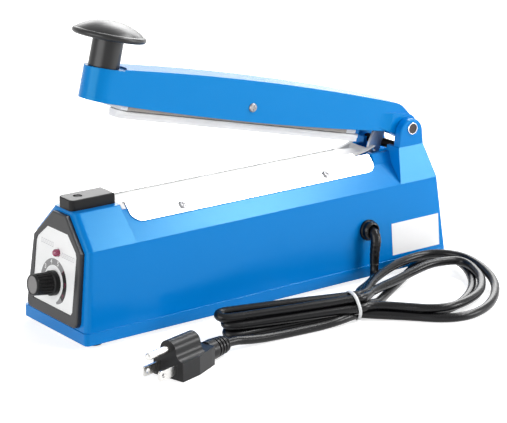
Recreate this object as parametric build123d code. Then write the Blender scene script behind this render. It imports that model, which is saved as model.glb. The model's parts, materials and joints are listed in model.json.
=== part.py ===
from build123d import *
import os
from math import atan, atan2, cos, degrees, pi, radians, sin, tan

# Hand-held impulse sealer for bags: a raked blue housing with a sealing table on top, an arm that
# closes on the table from a hinge at the rear, and a mains lead tied in a hank beside it.
#
# Every piece of the sealer is drawn in "bench" coordinates: x runs back from the front edge of the
# skirt, y is 0 on the middle plane, z is 0 at the underside of the skirt.  On export the pieces move
# to the part's own frame, whose origin lies on the surface it stands on, under its middle.
# The arm is drawn closed, level with the table, and is swung open about the hinge on export.

# ---- driving dimensions, mm ----------------------------------------------------------------------
# Housing.
LENGTH = 300.0              # skirt, front to rear
SKIRT_HALF = 38.0
SKIRT_HEIGHT = 7.8
SKIRT_CORNER = 3.0
SKIRT_DRAFT = 1.2           # degrees
WALL = 2.5
BODY_HALF = 37.93           # half-width of the drafted sides, extended down to the skirt's underside
SHOULDER_Z = 59.1
SHOULDER_HALF = 32.4
TOP_Z = 79.3
TOP_HALF = 13.0
FRONT_RAKE = 0.117          # how far the front leans back, per mm of height
REAR_RAKE = 0.089
FRONT_EDGE = 4.0            # rounding of the front's upright edges
REAR_EDGE = 1.2
TOP_EDGE = 1.4
BELOW = -12.0               # the moulding's profiles start below the skirt and are trimmed
MID_STATION = 142.5         # bench x of the origin: the middle of the sealer's footprint

# Bottom plate and feet.
PLATE_MARGIN = 3.75         # from the skirt's edge to the bottom plate's edge
PLATE_LOW = 0.8
FLOOR_THICKNESS = 1.5
FOOT_DROP = 3.0             # how far the feet reach below the skirt
FOOT_PLACES = [(x, y) for x in (12.0, 288.0) for y in (-27.5, 27.5)]
BOSS_RADIUS = 4.6
BOSS_TOP = 16.0
FOOT_SCREW_HALF = 1.5       # half the thread's diameter
SLOT_COUNT = 6              # cooling slots under the transformer
SLOT_PITCH = 9.0
SLOT_SIZE = (28.0, 3.0)
CORE_START = 128.0          # transformer's laminated core
CORE_END = 178.0
CORE_HALF = 24.0
CORE_TOP = 44.0
BOARD_Z = 12.0
BOARD_THICKNESS = 1.6
BOARD_START = 40.0
BOARD_END = 104.0

# Sealing table, recessed between the front block and the hinge block.
TABLE_Z = 78.4
TABLE_HALF = 12.4
TABLE_START = 43.0
TABLE_END = 268.0
TERMINAL_STATIONS = (50.5, 243.5)
TERMINAL_HOLE = 2.6
TAPE_TOP = TABLE_Z + 0.25
BAND_TOP = TAPE_TOP + 0.2
CLOTH_Z = TABLE_Z + 0.55
CLOTH_THICKNESS = 0.3
CLOTH_START = 43.2
CLOTH_HALF = 12.2
CLOTH_END = 247.4           # rear end of the part that the strip presses
CLOTH_RISE_START = 236.4    # the cloth's edges rise from here
CLOTH_TAIL = 255.0
CLOTH_TAIL_Z = 83.2
CLOTH_EDGE = 8.4            # inner side of the rising edges
CLOTH_TUCK_END = 47.2       # the front strip of the cloth that folds down over the bevels
CLOTH_TUCK_DROP = 3.6
CLAMP_START = 47.4
CLAMP_END = 248.0
FLANGE_END = 236.0          # behind it the loose cloth rises past the plate
CLAMP_DROP = 14.0           # how far a clamp plate reaches down the bevel
CLAMP_CORNER = 8.0
CLAMP_THICKNESS = 0.8
CLAMP_GAP = 0.05            # between the plate's web and the bevel
CLAMP_SCREW_STATIONS = (86.8, 205.3)
CLAMP_SCREW_UP = 19.0       # measured up the bevel from the shoulder

# Neck, hinge block and the trough between the ears.
NECK_START = 249.0
NECK_END = 270.0
NECK_Z = 79.0
NECK_TOP_HALF = 15.5
NECK_FOOT_HALF = 23.2
NECK_DROP = 16.0
BLOCK_Z = 82.9              # top of the hinge block, where the ears begin
TROUGH_HALF = 12.5          # between the neck's walls
TROUGH_REAR_HALF = 18.5     # between the ears
TROUGH_REAR_START = 267.8
TROUGH_Z = 72.5
WELL_DEPTH = 8.0            # well for the lift lever in the trough's floor
WELL_START = 254.6
WELL_END = 287.0
WELL_HALF = 10.5

# Hinge.
HINGE_X = 277.2
HINGE_Z = 95.0
OPEN_ANGLE = 13.5           # how far the arm stands open
EAR_INNER = 19.2
EAR_OUTER = 25.0
EAR_RADIUS = 10.0
PIN_RADIUS = 3.7
PIN_HALF = 25.9
REST_X = 273.0
REST_Z = 80.4
REST_RADIUS = 3.0
REST_JOURNAL = 1.5
REST_END = 20.2
SPRING_WIRE = 0.8           # radius
SPRING_COIL = 5.6
SPRING_TURNS = 6
SPRING_FOOT = (262.5, 4.0, 75.5)
SPRING_UPPER_END = (262.0, -4.0, 102.6)
LEVER_NEAR = -7.0
LEVER_FAR = -5.0

# Control panel; heights run along the raked panel.
KNOB_HEIGHT = 32.0
KNOB_REACH = 19.4           # from the housing's front face to the knob's tip
KNOB_GROOVES = 20
BUSHING_HOLE = 3.6
SHAFT_RADIUS = 3.0
SHAFT_END = 15.0
BEZEL_THICKNESS = 3.6
BEZEL_CORNER = 4.5
LABEL_SEAT = 2.5            # height of the pocket that holds the label plate
LABEL_THICKNESS = 0.5
LAMP_ACROSS = 2.0
LAMP_UP = 52.3
LAMP_RADIUS = 2.45
LAMP_HOLE = 2.6
LAMP_TIP = 7.1

# Switch in the front block.
SWITCH_X = 19.8
PLUNGER_RADIUS = 2.6
PLUNGER_TOP = 86.1
COVER_TOP = 86.4
COVER_START = 9.9
COVER_END = 42.4
COVER_HALF = 8.2
COVER_WALL = 1.8
CASE_BOTTOM = 61.5
CASE_TOP = 72.3

# Cable gland and sticker on the near side wall.
CORD_RADIUS = 3.0
GLAND_X = 230.4
GLAND_Z = 32.7
GLAND_BARREL = 4.9
GLAND_REACH = 6.2           # how far the gland stands out from the wall
CORD_SEAT = -1.0            # the cord's end inside the gland, measured out from the wall
STICKER_PLACE = (272.9, 21.8)
STICKER_SIZE = (42.6, 22.4)

# Arm, drawn closed.
NOSE_X = 31.0
NOSE_RADIUS = 12.5
NOSE_TOP_Z = 110.0
ARM_WIDEST = 252.0          # station where the arm's sides stop widening
ARM_REAR_HALF = 16.8
ARM_WALL = 1.8
BARREL_RADIUS = 9.0
BARREL_HALF = 18.8
ARM_SCREW = (143.2, 96.2)
ARM_SCREW_HOLE = 1.7
BOLT_HOLE = 2.6
CHANNEL_HALF = 10.8
CHANNEL_START = 47.6
CHANNEL_END = 230.7
CHANNEL_BOTTOM = 85.2
CHANNEL_TOP = 100.0
CHANNEL_SHEET = 1.0
CHANNEL_SHELF = 3.0         # height of the inner shelf above the channel's lower edge
STRIP_HALF = 8.0
STRIP_FACE = 6.9            # half-width of the strip's sealing face
STRIP_BOTTOM = 79.35
STRIP_STEP = 81.9
STRIP_TOP = 84.3
STRIP_START = 43.8
STRIP_END = 247.2
STOP_LENGTH = 4.8
STOP_END = 239.0
STOP_TOP = 92.0
STRIKE_X = 21.7
STRIKE_RADIUS = 1.3
STRIKE_TIP = 86.5

# Handle.
HANDLE_RADIUS = 23.7
RIM_Z = 130.1
CROWN_Z = 139.4
STEM_RADIUS = 10.0
BOLT_BORE = 2.7

# Cord and its tie, in the part's own frame.
WAIST = (29.3, -91.3, 9.6)  # middle of the bundle where the tie goes round it
TIE_FACING = (0.93, -0.057, 0.364)
TIE_INNER = 9.3
TIE_OUTER = 10.2
TIE_WIDTH = 2.4

# Plug, in plug coordinates: x towards the blades' tips, y across, z up from the floor.
PLUG_YAW = 14.1
PLUG_FACE = (-126.8, -105.4)
BODY_END = -35.0            # rear of the plug's body
POD_END = -23.0
RELIEF_END = -53.0
RELIEF_RIBS = 4
CORD_HEIGHT = 6.8
BLADE_SIDE = 6.35           # half the spacing of the blades
BLADE_HALF = 3.15           # half a blade's width
BLADE_THICKNESS = 1.5
BLADE_Z = 7.2
BLADE_TIP = 15.6
BLADE_ROOT = -10.0
PIN_Z = BLADE_Z + 11.9
GROUND_RADIUS = 2.4
GROUND_TIP = 19.7
GROUND_ROOT = -12.0

os.makedirs("parts", exist_ok=True)


# ---- small helpers -------------------------------------------------------------------------------
def polygon(points):
    """A flat face from corner points given as they are."""
    return make_face(Polyline(*points, close=True))


def mirrored(points):
    """Corner points of the right half, bottom to top, closed with their mirror images."""
    return points + [(-across, up) for across, up in reversed(points)]


def across(face, start, end):
    """Extrudes a face drawn in (y, z) along the length, from one station to another."""
    return extrude(Plane.YZ.offset(start) * face, end - start)


def sideways(face, half):
    """Extrudes a face drawn in (x, z) by the same amount to both sides of the middle plane."""
    return extrude(Plane.XZ * face, half, both=True)


def block(x0, x1, y0, y1, z0, z1):
    """A box between two corners."""
    return Pos((x0 + x1) / 2, (y0 + y1) / 2, (z0 + z1) / 2) * Box(x1 - x0, y1 - y0, z1 - z0)


def rod(start, end, radius):
    """A round bar between two points."""
    axis = Vector(*end) - Vector(*start)
    return extrude(Plane(origin=start, z_dir=axis) * Circle(radius), axis.length)


def both_sides(shape):
    """A shape and its mirror image across the middle plane."""
    return [shape, mirror(shape, Plane.XZ)]


def joined(shapes):
    """Separate solids kept together in one node."""
    solids = []
    for shape in shapes:
        solids += shape.solids()
    return Compound(children=solids)


TO_PART = Pos(-MID_STATION, 0, FOOT_DROP)
SWING = Pos(HINGE_X, 0, HINGE_Z) * Rot(0, OPEN_ANGLE, 0) * Pos(-HINGE_X, 0, -HINGE_Z)


def save(name, shape):
    """Writes one piece of the base."""
    solids = (TO_PART * shape).solids()
    export_step(solids[0] if len(solids) == 1 else Compound(children=solids), f"parts/{name}.step")


def save_arm(name, shape):
    """Writes one piece of the arm, swung open."""
    save(name, SWING * shape)


def save_cord(name, shape):
    """Writes one piece of the cord, which is drawn in the part's own frame."""
    export_step(shape, f"parts/{name}.step")


# ---- planes --------------------------------------------------------------------------------------
rake = atan(FRONT_RAKE)
# On the panel x runs to the right as a user facing it sees it, y runs up the leaning face.
panel = Plane(origin=(0, 0, 0), x_dir=(0, -1, 0), z_dir=(-cos(rake), 0, sin(rake)))

table_slope = atan2(TABLE_Z - SHOULDER_Z, SHOULDER_HALF - TABLE_HALF)
table_length = (SHOULDER_HALF - TABLE_HALF) / cos(table_slope)


def table_bevel(station, along, lift=0.0):
    """Plane on the near bevel beside the table; its z points out, `along` runs up from the shoulder."""
    y = -SHOULDER_HALF + along * cos(table_slope) - lift * sin(table_slope)
    z = SHOULDER_Z + along * sin(table_slope) + lift * cos(table_slope)
    return Plane(
        origin=(station, y, z),
        x_dir=(1, 0, 0),
        z_dir=(0, -sin(table_slope), cos(table_slope)),
    )


side_draft = atan2(BODY_HALF - SHOULDER_HALF, SHOULDER_Z)


def side_wall(station, height):
    """Plane on the near side wall of the housing, z pointing out."""
    y = -BODY_HALF + height * tan(side_draft)
    return Plane(
        origin=(station, y, height),
        x_dir=(1, 0, 0),
        z_dir=(0, -cos(side_draft), sin(side_draft)),
    )


# ---- base shell ----------------------------------------------------------------------------------
def housing(inset):
    """The long part of the housing, every face moved in by `inset`."""
    section = mirrored([
        (BODY_HALF - BELOW * tan(side_draft), BELOW),
        (SHOULDER_HALF, SHOULDER_Z),
        (TOP_HALF, TOP_Z),
    ])
    profile = [
        (BELOW * FRONT_RAKE, BELOW),
        (TOP_Z * FRONT_RAKE, TOP_Z),
        (HINGE_X, TOP_Z),
        (HINGE_X, SHOULDER_Z),
        (LENGTH - SHOULDER_Z * REAR_RAKE, SHOULDER_Z),
        (LENGTH - BELOW * REAR_RAKE, BELOW),
    ]
    return across(shrunk(section, inset), -20, LENGTH + 20) & sideways(shrunk(profile, inset), 60)


def hinge_block(inset):
    """The steeper block at the rear that carries the ears."""
    section = mirrored([
        (SHOULDER_HALF + 4 * tan(side_draft), SHOULDER_Z - 4),
        (SHOULDER_HALF, SHOULDER_Z),
        (EAR_OUTER, BLOCK_Z),
    ])
    profile = [
        (260.8, SHOULDER_Z - 4),
        (265.3, BLOCK_Z),
        (287.9, BLOCK_Z),
        (LENGTH - SHOULDER_Z * REAR_RAKE, SHOULDER_Z),
        (LENGTH - (SHOULDER_Z - 4) * REAR_RAKE, SHOULDER_Z - 4),
    ]
    return across(shrunk(section, inset), 240, LENGTH + 20) & sideways(shrunk(profile, inset), 60)


def shrunk(points, inset):
    """A polygon with every side moved in."""
    face = polygon(points)
    if inset == 0:
        return face
    return offset(face, amount=-inset, kind=Kind.INTERSECTION)


def ear():
    """One hinge ear: a tongue with a round top, standing on the hinge block."""
    circle = Pos(HINGE_X - 0.4, HINGE_Z - 3.3) * Circle(EAR_RADIUS)
    foot = Line((265.0, BLOCK_Z - 6), (288.6, BLOCK_Z - 6))
    outline = make_hull(circle.edges() + foot.edges())
    plate = extrude(Plane.XZ.offset(EAR_INNER) * outline, EAR_OUTER - EAR_INNER)
    rim = plate.edges().filter_by(
        lambda e: e.center().Z > BLOCK_Z - 5 and abs(e.center().Y + EAR_OUTER) < 0.01)
    return fillet(rim, 1.0)


def trough(wall):
    """Room between the neck's walls and the ears, grown all round by a wall's thickness."""
    front = NECK_START + WALL - 2 * wall
    narrow = TROUGH_HALF + wall
    wide = TROUGH_REAR_HALF + wall
    room = block(front, LENGTH + 5, -narrow, narrow, TROUGH_Z - wall, 100)
    return room + block(TROUGH_REAR_START - wall, LENGTH + 5, -wide, wide, TROUGH_Z - wall, 100)


def make_base_shell():
    outer = housing(0)
    front_edges = outer.edges().filter_by(
        lambda e: abs(e.center().X - FRONT_RAKE * e.center().Z) < 0.05 and e.center().Z > 0)
    upright = front_edges.filter_by(lambda e: abs(e.center().Y) > 1)
    outer = fillet(upright, FRONT_EDGE)
    top_edges = outer.edges().filter_by(
        lambda e: abs(e.center().Z - TOP_Z) < 0.01 and e.center().X < HINGE_X - 1)
    outer = fillet(top_edges, TOP_EDGE)

    # The table: a shallow recess in the top and both bevels.
    full = polygon(mirrored([(SHOULDER_HALF, SHOULDER_Z), (TOP_HALF, TOP_Z), (TOP_HALF, TOP_Z + 5)]))
    kept = polygon(mirrored([
        (SHOULDER_HALF, SHOULDER_Z), (TABLE_HALF, TABLE_Z), (0.001, TABLE_Z)]))
    outer -= across(full - kept, TABLE_START, TABLE_END)

    neck = across(polygon(mirrored([
        (NECK_FOOT_HALF, NECK_Z - NECK_DROP), (NECK_TOP_HALF, NECK_Z)])), NECK_START, NECK_END)
    outer = outer + neck + hinge_block(0)
    rear_edges = outer.edges().filter_by(
        lambda e: e.center().X > LENGTH - 13 and abs(e.center().Y) > EAR_OUTER
        and 0 < e.center().Z < BLOCK_Z - 1 and abs(e.tangent_at(0.5).Z) > 0.8)
    outer = fillet(rear_edges, REAR_EDGE)

    skirt = extrude(
        Pos(LENGTH / 2, 0, 0) * RectangleRounded(LENGTH, 2 * SKIRT_HALF, SKIRT_CORNER),
        SKIRT_HEIGHT, taper=SKIRT_DRAFT)
    outer = outer + skirt
    outer = outer & block(-5, LENGTH + 5, -60, 60, 0, 130)

    cavity = housing(WALL) + hinge_block(WALL)
    cavity -= trough(WALL)
    shell = outer - cavity

    # Trough open to the rear, with the well for the lift lever in its floor; then the ears, and the
    # bearings of the spring's rest below them.
    shell -= trough(0)
    shell -= block(WELL_START, WELL_END, -WELL_HALF, WELL_HALF, TROUGH_Z - WELL_DEPTH, TROUGH_Z + 1)

    for tongue in both_sides(ear()):
        shell += tongue
    shell -= rod((REST_X, -REST_END, REST_Z), (REST_X, REST_END, REST_Z), REST_JOURNAL + 0.02)
    shell -= rod((HINGE_X, -40, HINGE_Z), (HINGE_X, 40, HINGE_Z), PIN_RADIUS + 0.05)

    # Screw bosses in the four corners, each tied to the side wall by a rib.
    seat = PLATE_LOW + FLOOR_THICKNESS + 0.1
    for station, side in FOOT_PLACES:
        wall_side = side / abs(side) * BODY_HALF
        rib = block(station - 1, station + 1, min(side, wall_side), max(side, wall_side), seat, BOSS_TOP)
        shell += rod((station, side, seat), (station, side, BOSS_TOP), BOSS_RADIUS) + (rib & outer)
        shell -= rod((station, side, 0), (station, side, BOSS_TOP - 3), FOOT_SCREW_HALF + 0.05)

    # Holes: panel controls, switch plunger, band terminals, clamp screws, cable gland.
    shell -= panel_hole(-8, 16, 0, KNOB_HEIGHT, BUSHING_HOLE)
    shell -= panel_hole(-8, 16, LAMP_ACROSS, LAMP_UP, LAMP_HOLE)
    shell -= rod((SWITCH_X, 0, 70), (SWITCH_X, 0, 90), PLUNGER_RADIUS + 0.3)
    for station in TERMINAL_STATIONS:
        shell -= rod((station, 0, 66), (station, 0, 90), TERMINAL_HOLE)
    for place in clamp_screw_planes():
        for hole in both_sides(extrude(place.offset(-9) * Circle(1.5), 12)):
            shell -= hole
    shell -= extrude(side_wall(GLAND_X, GLAND_Z).offset(-8) * Circle(GLAND_BARREL + 0.1), 16)
    return shell


# ---- bottom --------------------------------------------------------------------------------------
def make_bottom_plate():
    outline = RectangleRounded(LENGTH - 2 * PLATE_MARGIN, 2 * (SKIRT_HALF - PLATE_MARGIN), 4.0)
    plate = extrude(Pos(LENGTH / 2, 0, PLATE_LOW) * outline, FLOOR_THICKNESS)
    for station, side in FOOT_PLACES:
        plate -= rod((station, side, 0), (station, side, 4), FOOT_SCREW_HALF + 0.1)
    for row in range(SLOT_COUNT):
        slot = Pos(CORE_START + SLOT_PITCH * row, 0, 0) * SlotOverall(*SLOT_SIZE, rotation=90)
        plate -= extrude(slot, 4)
    return plate


def make_feet():
    bore = FOOT_SCREW_HALF + 0.1
    profile = polygon([
        (bore, PLATE_LOW), (6.5, PLATE_LOW), (5.9, -FOOT_DROP + 0.6), (5.3, -FOOT_DROP),
        (3.6, -FOOT_DROP), (3.6, -0.9), (bore, -0.9)])
    foot = revolve(Plane.XZ * profile, Axis.Z)
    return joined([Pos(x, y, 0) * foot for x, y in FOOT_PLACES])


def make_foot_screws():
    thread = FOOT_SCREW_HALF
    profile = polygon([
        (0, -2.5), (2.4, -2.5), (2.9, -2.0), (2.9, -0.95), (thread, -0.95), (thread, 12), (0, 12)])
    screw = revolve(Plane.XZ * profile, Axis.Z)
    return joined([Pos(x, y, 0) * screw for x, y in FOOT_PLACES])


# ---- control panel -------------------------------------------------------------------------------
def panel_hole(height, depth, across_panel, up, radius):
    """A round cutter square to the panel, starting at a height over the housing's front."""
    return extrude(panel.offset(height) * (Pos(across_panel, up) * Circle(radius)), depth)


def make_bezel():
    """Eight-sided frame on the raked front, with a shallow pocket for the label plate."""
    outline = polygon(mirrored([(30.2, 9.3), (27.8, 57.6), (7.7, 77.5)]))
    outline = fillet(outline.vertices().group_by(Axis.Y)[0], BEZEL_CORNER)
    frame = extrude(panel * outline, BEZEL_THICKNESS)
    front_rim = frame.faces().sort_by(Axis((0, 0, 0), tuple(panel.z_dir)))[-1].edges()
    frame = fillet(front_rim, 1.0)
    frame -= extrude(panel.offset(LABEL_SEAT) * label_outline(0.0), 4)
    frame -= panel_hole(-1, 8, 0, KNOB_HEIGHT, BUSHING_HOLE)
    frame -= panel_hole(-1, 8, LAMP_ACROSS, LAMP_UP, LAMP_HOLE)
    return frame


def label_outline(gap):
    """The label's outline, smaller all round by `gap`."""
    face = polygon(mirrored([(22.4, 16.4), (24.2, 19), (24.2, 54.5), (23.0, 57.5), (12.2, 66.6)]))
    return face if gap == 0 else offset(face, amount=-gap, kind=Kind.INTERSECTION)


def make_label_plate():
    plate = extrude(panel.offset(LABEL_SEAT) * label_outline(0.15), LABEL_THICKNESS)
    plate -= panel_hole(2, 4, 0, KNOB_HEIGHT, BUSHING_HOLE)
    plate -= panel_hole(2, 4, LAMP_ACROSS, LAMP_UP, LAMP_HOLE)
    return plate


def on_panel(profile, up, across_panel=0.0):
    """Revolves a profile of (radius, height above the housing) about an axis square to the panel."""
    spot = panel.location * Pos(across_panel, up, 0)
    return spot * revolve(Plane.XZ * profile, Axis.Z)


def make_lamp():
    """Lens with a domed tip, held behind the panel by a collar."""
    collar = LAMP_RADIUS + 0.5
    spring_line = LAMP_TIP - LAMP_RADIUS
    profile = make_face([
        Line((0, -6), (collar, -6)),
        Line((collar, -6), (collar, -3)),
        Line((collar, -3), (LAMP_RADIUS, -3)),
        Line((LAMP_RADIUS, -3), (LAMP_RADIUS, spring_line)),
        RadiusArc((LAMP_RADIUS, spring_line), (0, LAMP_TIP), -LAMP_RADIUS),
        Line((0, LAMP_TIP), (0, -6)),
    ])
    return on_panel(profile, LAMP_UP, LAMP_ACROSS)


def make_knob():
    """Ribbed knob: a slightly tapered cap on a plain skirt, a shallow dish in its tip, bored for the shaft."""
    bore = SHAFT_RADIUS + 0.02
    profile = polygon([
        (3.8, 3.3), (8.1, 3.3), (8.1, 6.4), (7.7, 6.9), (7.3, 7.1), (6.9, KNOB_REACH - 0.6), (6.4, KNOB_REACH),
        (5.8, KNOB_REACH), (5.7, KNOB_REACH - 0.4), (0, KNOB_REACH - 0.4), (0, SHAFT_END), (bore, SHAFT_END),
        (bore, 5.0), (3.8, 5.0),
    ])
    knob = revolve(Plane.XZ * profile, Axis.Z)
    groove = Cylinder(0.55, KNOB_REACH - 9, align=(Align.CENTER, Align.CENTER, Align.MIN))
    for index in range(KNOB_GROOVES):
        knob -= Rot(0, 0, 360 * index / KNOB_GROOVES) * Pos(7.3, 0, 7.4) * Rot(0, -2.0, 0) * groove
    return panel.location * Pos(0, KNOB_HEIGHT, 0) * knob


def make_shaft():
    profile = polygon([(0, -9), (SHAFT_RADIUS, -9), (SHAFT_RADIUS, SHAFT_END), (0, SHAFT_END)])
    return on_panel(profile, KNOB_HEIGHT)


def make_potentiometer():
    profile = polygon([
        (SHAFT_RADIUS + 0.15, 4.6), (3.5, 4.6), (3.5, -WALL - 0.2), (8.2, -WALL - 0.2),
        (8.2, -10.4), (0, -10.4), (0, -9.3), (SHAFT_RADIUS + 0.15, -9.3)])
    return on_panel(profile, KNOB_HEIGHT)


# ---- switch --------------------------------------------------------------------------------------
def make_switch_cover():
    """Black cap on the front block, open below, with the hole that the strike pin enters."""
    def outline(gap):
        half = COVER_HALF - gap
        face = polygon([
            (COVER_START + gap, -half), (COVER_END - gap, -half), (COVER_END - gap, half),
            (COVER_START + gap, half)])
        return fillet(face.vertices().group_by(Axis.X)[0], 3.2 - gap)
    cap = extrude(Pos(0, 0, TOP_Z) * outline(0), COVER_TOP - TOP_Z)
    cap = fillet(cap.faces().sort_by(Axis.Z)[-1].edges(), 0.7)
    cap -= extrude(Pos(0, 0, TOP_Z) * outline(COVER_WALL), COVER_TOP - TOP_Z - COVER_WALL)
    cap -= rod((SWITCH_X, 0, TOP_Z), (SWITCH_X, 0, COVER_TOP + 1), PLUNGER_RADIUS + 0.4)
    return cap


def make_plunger():
    """Sprung button of the microswitch, held in by a collar under the housing's top."""
    profile = polygon([
        (0, 74.7), (1.6, 74.7), (1.6, 75.3), (4.2, 75.3), (4.2, 76.3), (PLUNGER_RADIUS, 76.3),
        (PLUNGER_RADIUS, PLUNGER_TOP - 0.5), (PLUNGER_RADIUS - 0.5, PLUNGER_TOP), (0, PLUNGER_TOP)])
    return Pos(SWITCH_X, 0, 0) * revolve(Plane.XZ * profile, Axis.Z)


def make_microswitch():
    case = block(12.5, 32.5, -3.3, 3.3, CASE_BOTTOM, CASE_TOP)
    # Posts under the housing's top that the case is screwed to.
    for station in (13.3, 31.7):
        case += rod((station, 0, CASE_TOP - 0.1), (station, 0, TOP_Z - WALL), 1.2)
    for station in (15.0, 22.5, 30.0):
        case += block(station - 0.4, station + 0.4, -1.6, 1.6, CASE_BOTTOM - 4, CASE_BOTTOM)
    for station in (17.5, 27.5):
        case -= rod((station, -5, 64.5), (station, 5, 64.5), 1.3)
    return case


# ---- sealing table -------------------------------------------------------------------------------
def make_tape():
    return block(54, 240, -7, 7, TABLE_Z, TAPE_TOP)


def make_band():
    return block(48, 246, -1.5, 1.5, TAPE_TOP + 0.02, BAND_TOP)


def make_terminals():
    """Brass posts that hold the ends of the band, each pressed up by its own spring seat."""
    profile = polygon([(0, 60), (4.2, 60), (4.2, 64), (2.4, 64), (2.4, TAPE_TOP - 0.02), (0, TAPE_TOP - 0.02)])
    post = revolve(Plane.XZ * profile, Axis.Z)
    return joined([Pos(station, 0, 0) * post for station in TERMINAL_STATIONS])


def make_cloth():
    """White release cloth: its front folds down over both bevels, its loose rear end rides up the neck."""
    upper = CLOTH_Z + CLOTH_THICKNESS
    cloth = block(CLOTH_START, CLOTH_RISE_START, -CLOTH_HALF, CLOTH_HALF, CLOTH_Z, upper)
    cloth += block(CLOTH_RISE_START, CLOTH_END, -CLOTH_EDGE, CLOTH_EDGE, CLOTH_Z, upper)
    length = CLOTH_TUCK_END - CLOTH_START
    tuck = extrude(
        table_bevel(CLOTH_START + length / 2, table_length - CLOTH_TUCK_DROP / 2, 0.08)
        * Rectangle(length, CLOTH_TUCK_DROP), CLOTH_THICKNESS)
    outside = TABLE_HALF + 0.35
    bend = across(polygon([
        (TABLE_HALF - 0.4, CLOTH_Z), (outside, TABLE_Z + 0.1),
        (outside + CLOTH_THICKNESS * 0.8, TABLE_Z + 0.35), (TABLE_HALF - 0.4, CLOTH_Z + CLOTH_THICKNESS)]),
        CLOTH_START, CLOTH_TUCK_END)
    for piece in both_sides(tuck) + both_sides(bend):
        cloth += piece
    middle = [(CLOTH_END - 0.5, CLOTH_Z), (CLOTH_END + 0.3, CLOTH_Z + 0.2), (248.9, 80.6), (251.6, 82.0)]
    cloth += cloth_ribbon(middle, -CLOTH_EDGE, CLOTH_EDGE)
    edge = [(CLOTH_RISE_START - 0.5, CLOTH_Z), (CLOTH_RISE_START, CLOTH_Z), (241.0, 79.5), (245.5, 80.3),
            (250.0, 81.4), (CLOTH_TAIL, CLOTH_TAIL_Z)]
    for piece in both_sides(cloth_ribbon(edge, CLOTH_EDGE, CLOTH_HALF)):
        cloth += piece
    return joined([cloth])


def cloth_ribbon(under, start, end):
    """A strip of the cloth that follows a line of (x, z) points, between two distances from the middle."""
    over = [(x - 0.12, z + CLOTH_THICKNESS) for x, z in reversed(under)]
    return extrude(Plane.XZ.offset(-end) * polygon(under + over), end - start)


def make_clamp_plate():
    """Near-side clamp plate: bright sheet, a flange on the table and a web with round lower corners."""
    middle = (CLAMP_START + CLAMP_END) / 2
    web_plane = table_bevel(middle, table_length - CLAMP_DROP / 2, CLAMP_GAP)
    web = Rectangle(CLAMP_END - CLAMP_START, CLAMP_DROP)
    web = fillet(web.vertices().group_by(Axis.Y)[0], CLAMP_CORNER)
    plate = extrude(web_plane * web, CLAMP_THICKNESS)
    lip = CLOTH_Z + CLOTH_THICKNESS + 0.04
    inner = table_bevel(0, table_length, CLAMP_GAP).origin
    outer_edge = table_bevel(0, table_length, CLAMP_GAP + CLAMP_THICKNESS).origin
    flange = polygon([
        (inner.Y, inner.Z), (outer_edge.Y, outer_edge.Z), (outer_edge.Y + 0.45, lip + CLAMP_THICKNESS),
        (-9.2, lip + CLAMP_THICKNESS), (-9.2, lip), (inner.Y + 0.1, lip)])
    plate += across(flange, CLAMP_START, FLANGE_END)
    for place in clamp_screw_planes():
        plate -= extrude(place.offset(-1) * Circle(1.7), 4)
    return plate


def clamp_screw_planes():
    """Where the near plate's screws stand, on the web's outer face."""
    lift = CLAMP_GAP + CLAMP_THICKNESS
    return [table_bevel(station, CLAMP_SCREW_UP, lift) for station in CLAMP_SCREW_STATIONS]


def make_clamp_screws():
    head = polygon([(0, 1.3), (1.6, 1.2), (2.6, 0.7), (3.0, 0.02), (1.4, 0.02), (1.4, -7), (0, -7)])
    screw = revolve(Plane.XZ * head, Axis.Z)
    slots = Box(3.2, 0.6, 1.4) + Box(0.6, 3.2, 1.4)
    screw -= Pos(0, 0, 1.3) * slots
    pieces = []
    for place in clamp_screw_planes():
        pieces += both_sides(place.location * screw)
    return joined(pieces)


# ---- hinge ---------------------------------------------------------------------------------------
def make_hinge_pin():
    """Steel pin with a raised rim round each end."""
    rim = PIN_RADIUS + 0.45
    dish = PIN_HALF - 0.6
    profile = polygon([
        (0, -dish), (PIN_RADIUS - 0.3, -dish), (PIN_RADIUS - 0.1, -PIN_HALF), (rim - 0.2, -PIN_HALF),
        (rim, -PIN_HALF + 0.3), (rim, -EAR_OUTER - 0.02), (PIN_RADIUS, -EAR_OUTER - 0.02),
        (PIN_RADIUS, EAR_OUTER + 0.02), (rim, EAR_OUTER + 0.02), (rim, PIN_HALF - 0.3),
        (rim - 0.2, PIN_HALF), (PIN_RADIUS - 0.1, PIN_HALF), (PIN_RADIUS - 0.3, dish), (0, dish)])
    return Pos(HINGE_X, 0, HINGE_Z) * Rot(90, 0, 0) * revolve(Plane.XZ * profile, Axis.Z)


def make_spring_rest():
    """Rubber-sleeved bar across the trough that the spring's lower leg bears on."""
    half = TROUGH_REAR_HALF - 0.05
    sleeve = rod((REST_X, -half, REST_Z), (REST_X, half, REST_Z), REST_RADIUS)
    return sleeve + rod((REST_X, -REST_END, REST_Z), (REST_X, REST_END, REST_Z), REST_JOURNAL)


def make_return_spring():
    """Black torsion spring on the pin: close-wound coils and two straight legs."""
    place = Pos(HINGE_X, 0, HINGE_Z) * Rot(90, 0, 0)
    spring = place * Cylinder(SPRING_COIL + 0.35, SPRING_TURNS * 2 * SPRING_WIRE)
    spring -= place * Cylinder(SPRING_COIL - 0.5, 40)
    edge = (SPRING_TURNS - 1) * SPRING_WIRE
    for turn in range(SPRING_TURNS):
        spring += place * Pos(0, 0, 2 * SPRING_WIRE * turn - edge) * Torus(SPRING_COIL, SPRING_WIRE)
    spring += rod((HINGE_X - 1.5, edge, HINGE_Z - SPRING_COIL), SPRING_FOOT, SPRING_WIRE)
    spring += rod((HINGE_X - 0.5, -edge, HINGE_Z + SPRING_COIL), SPRING_UPPER_END, SPRING_WIRE)
    return spring


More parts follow.
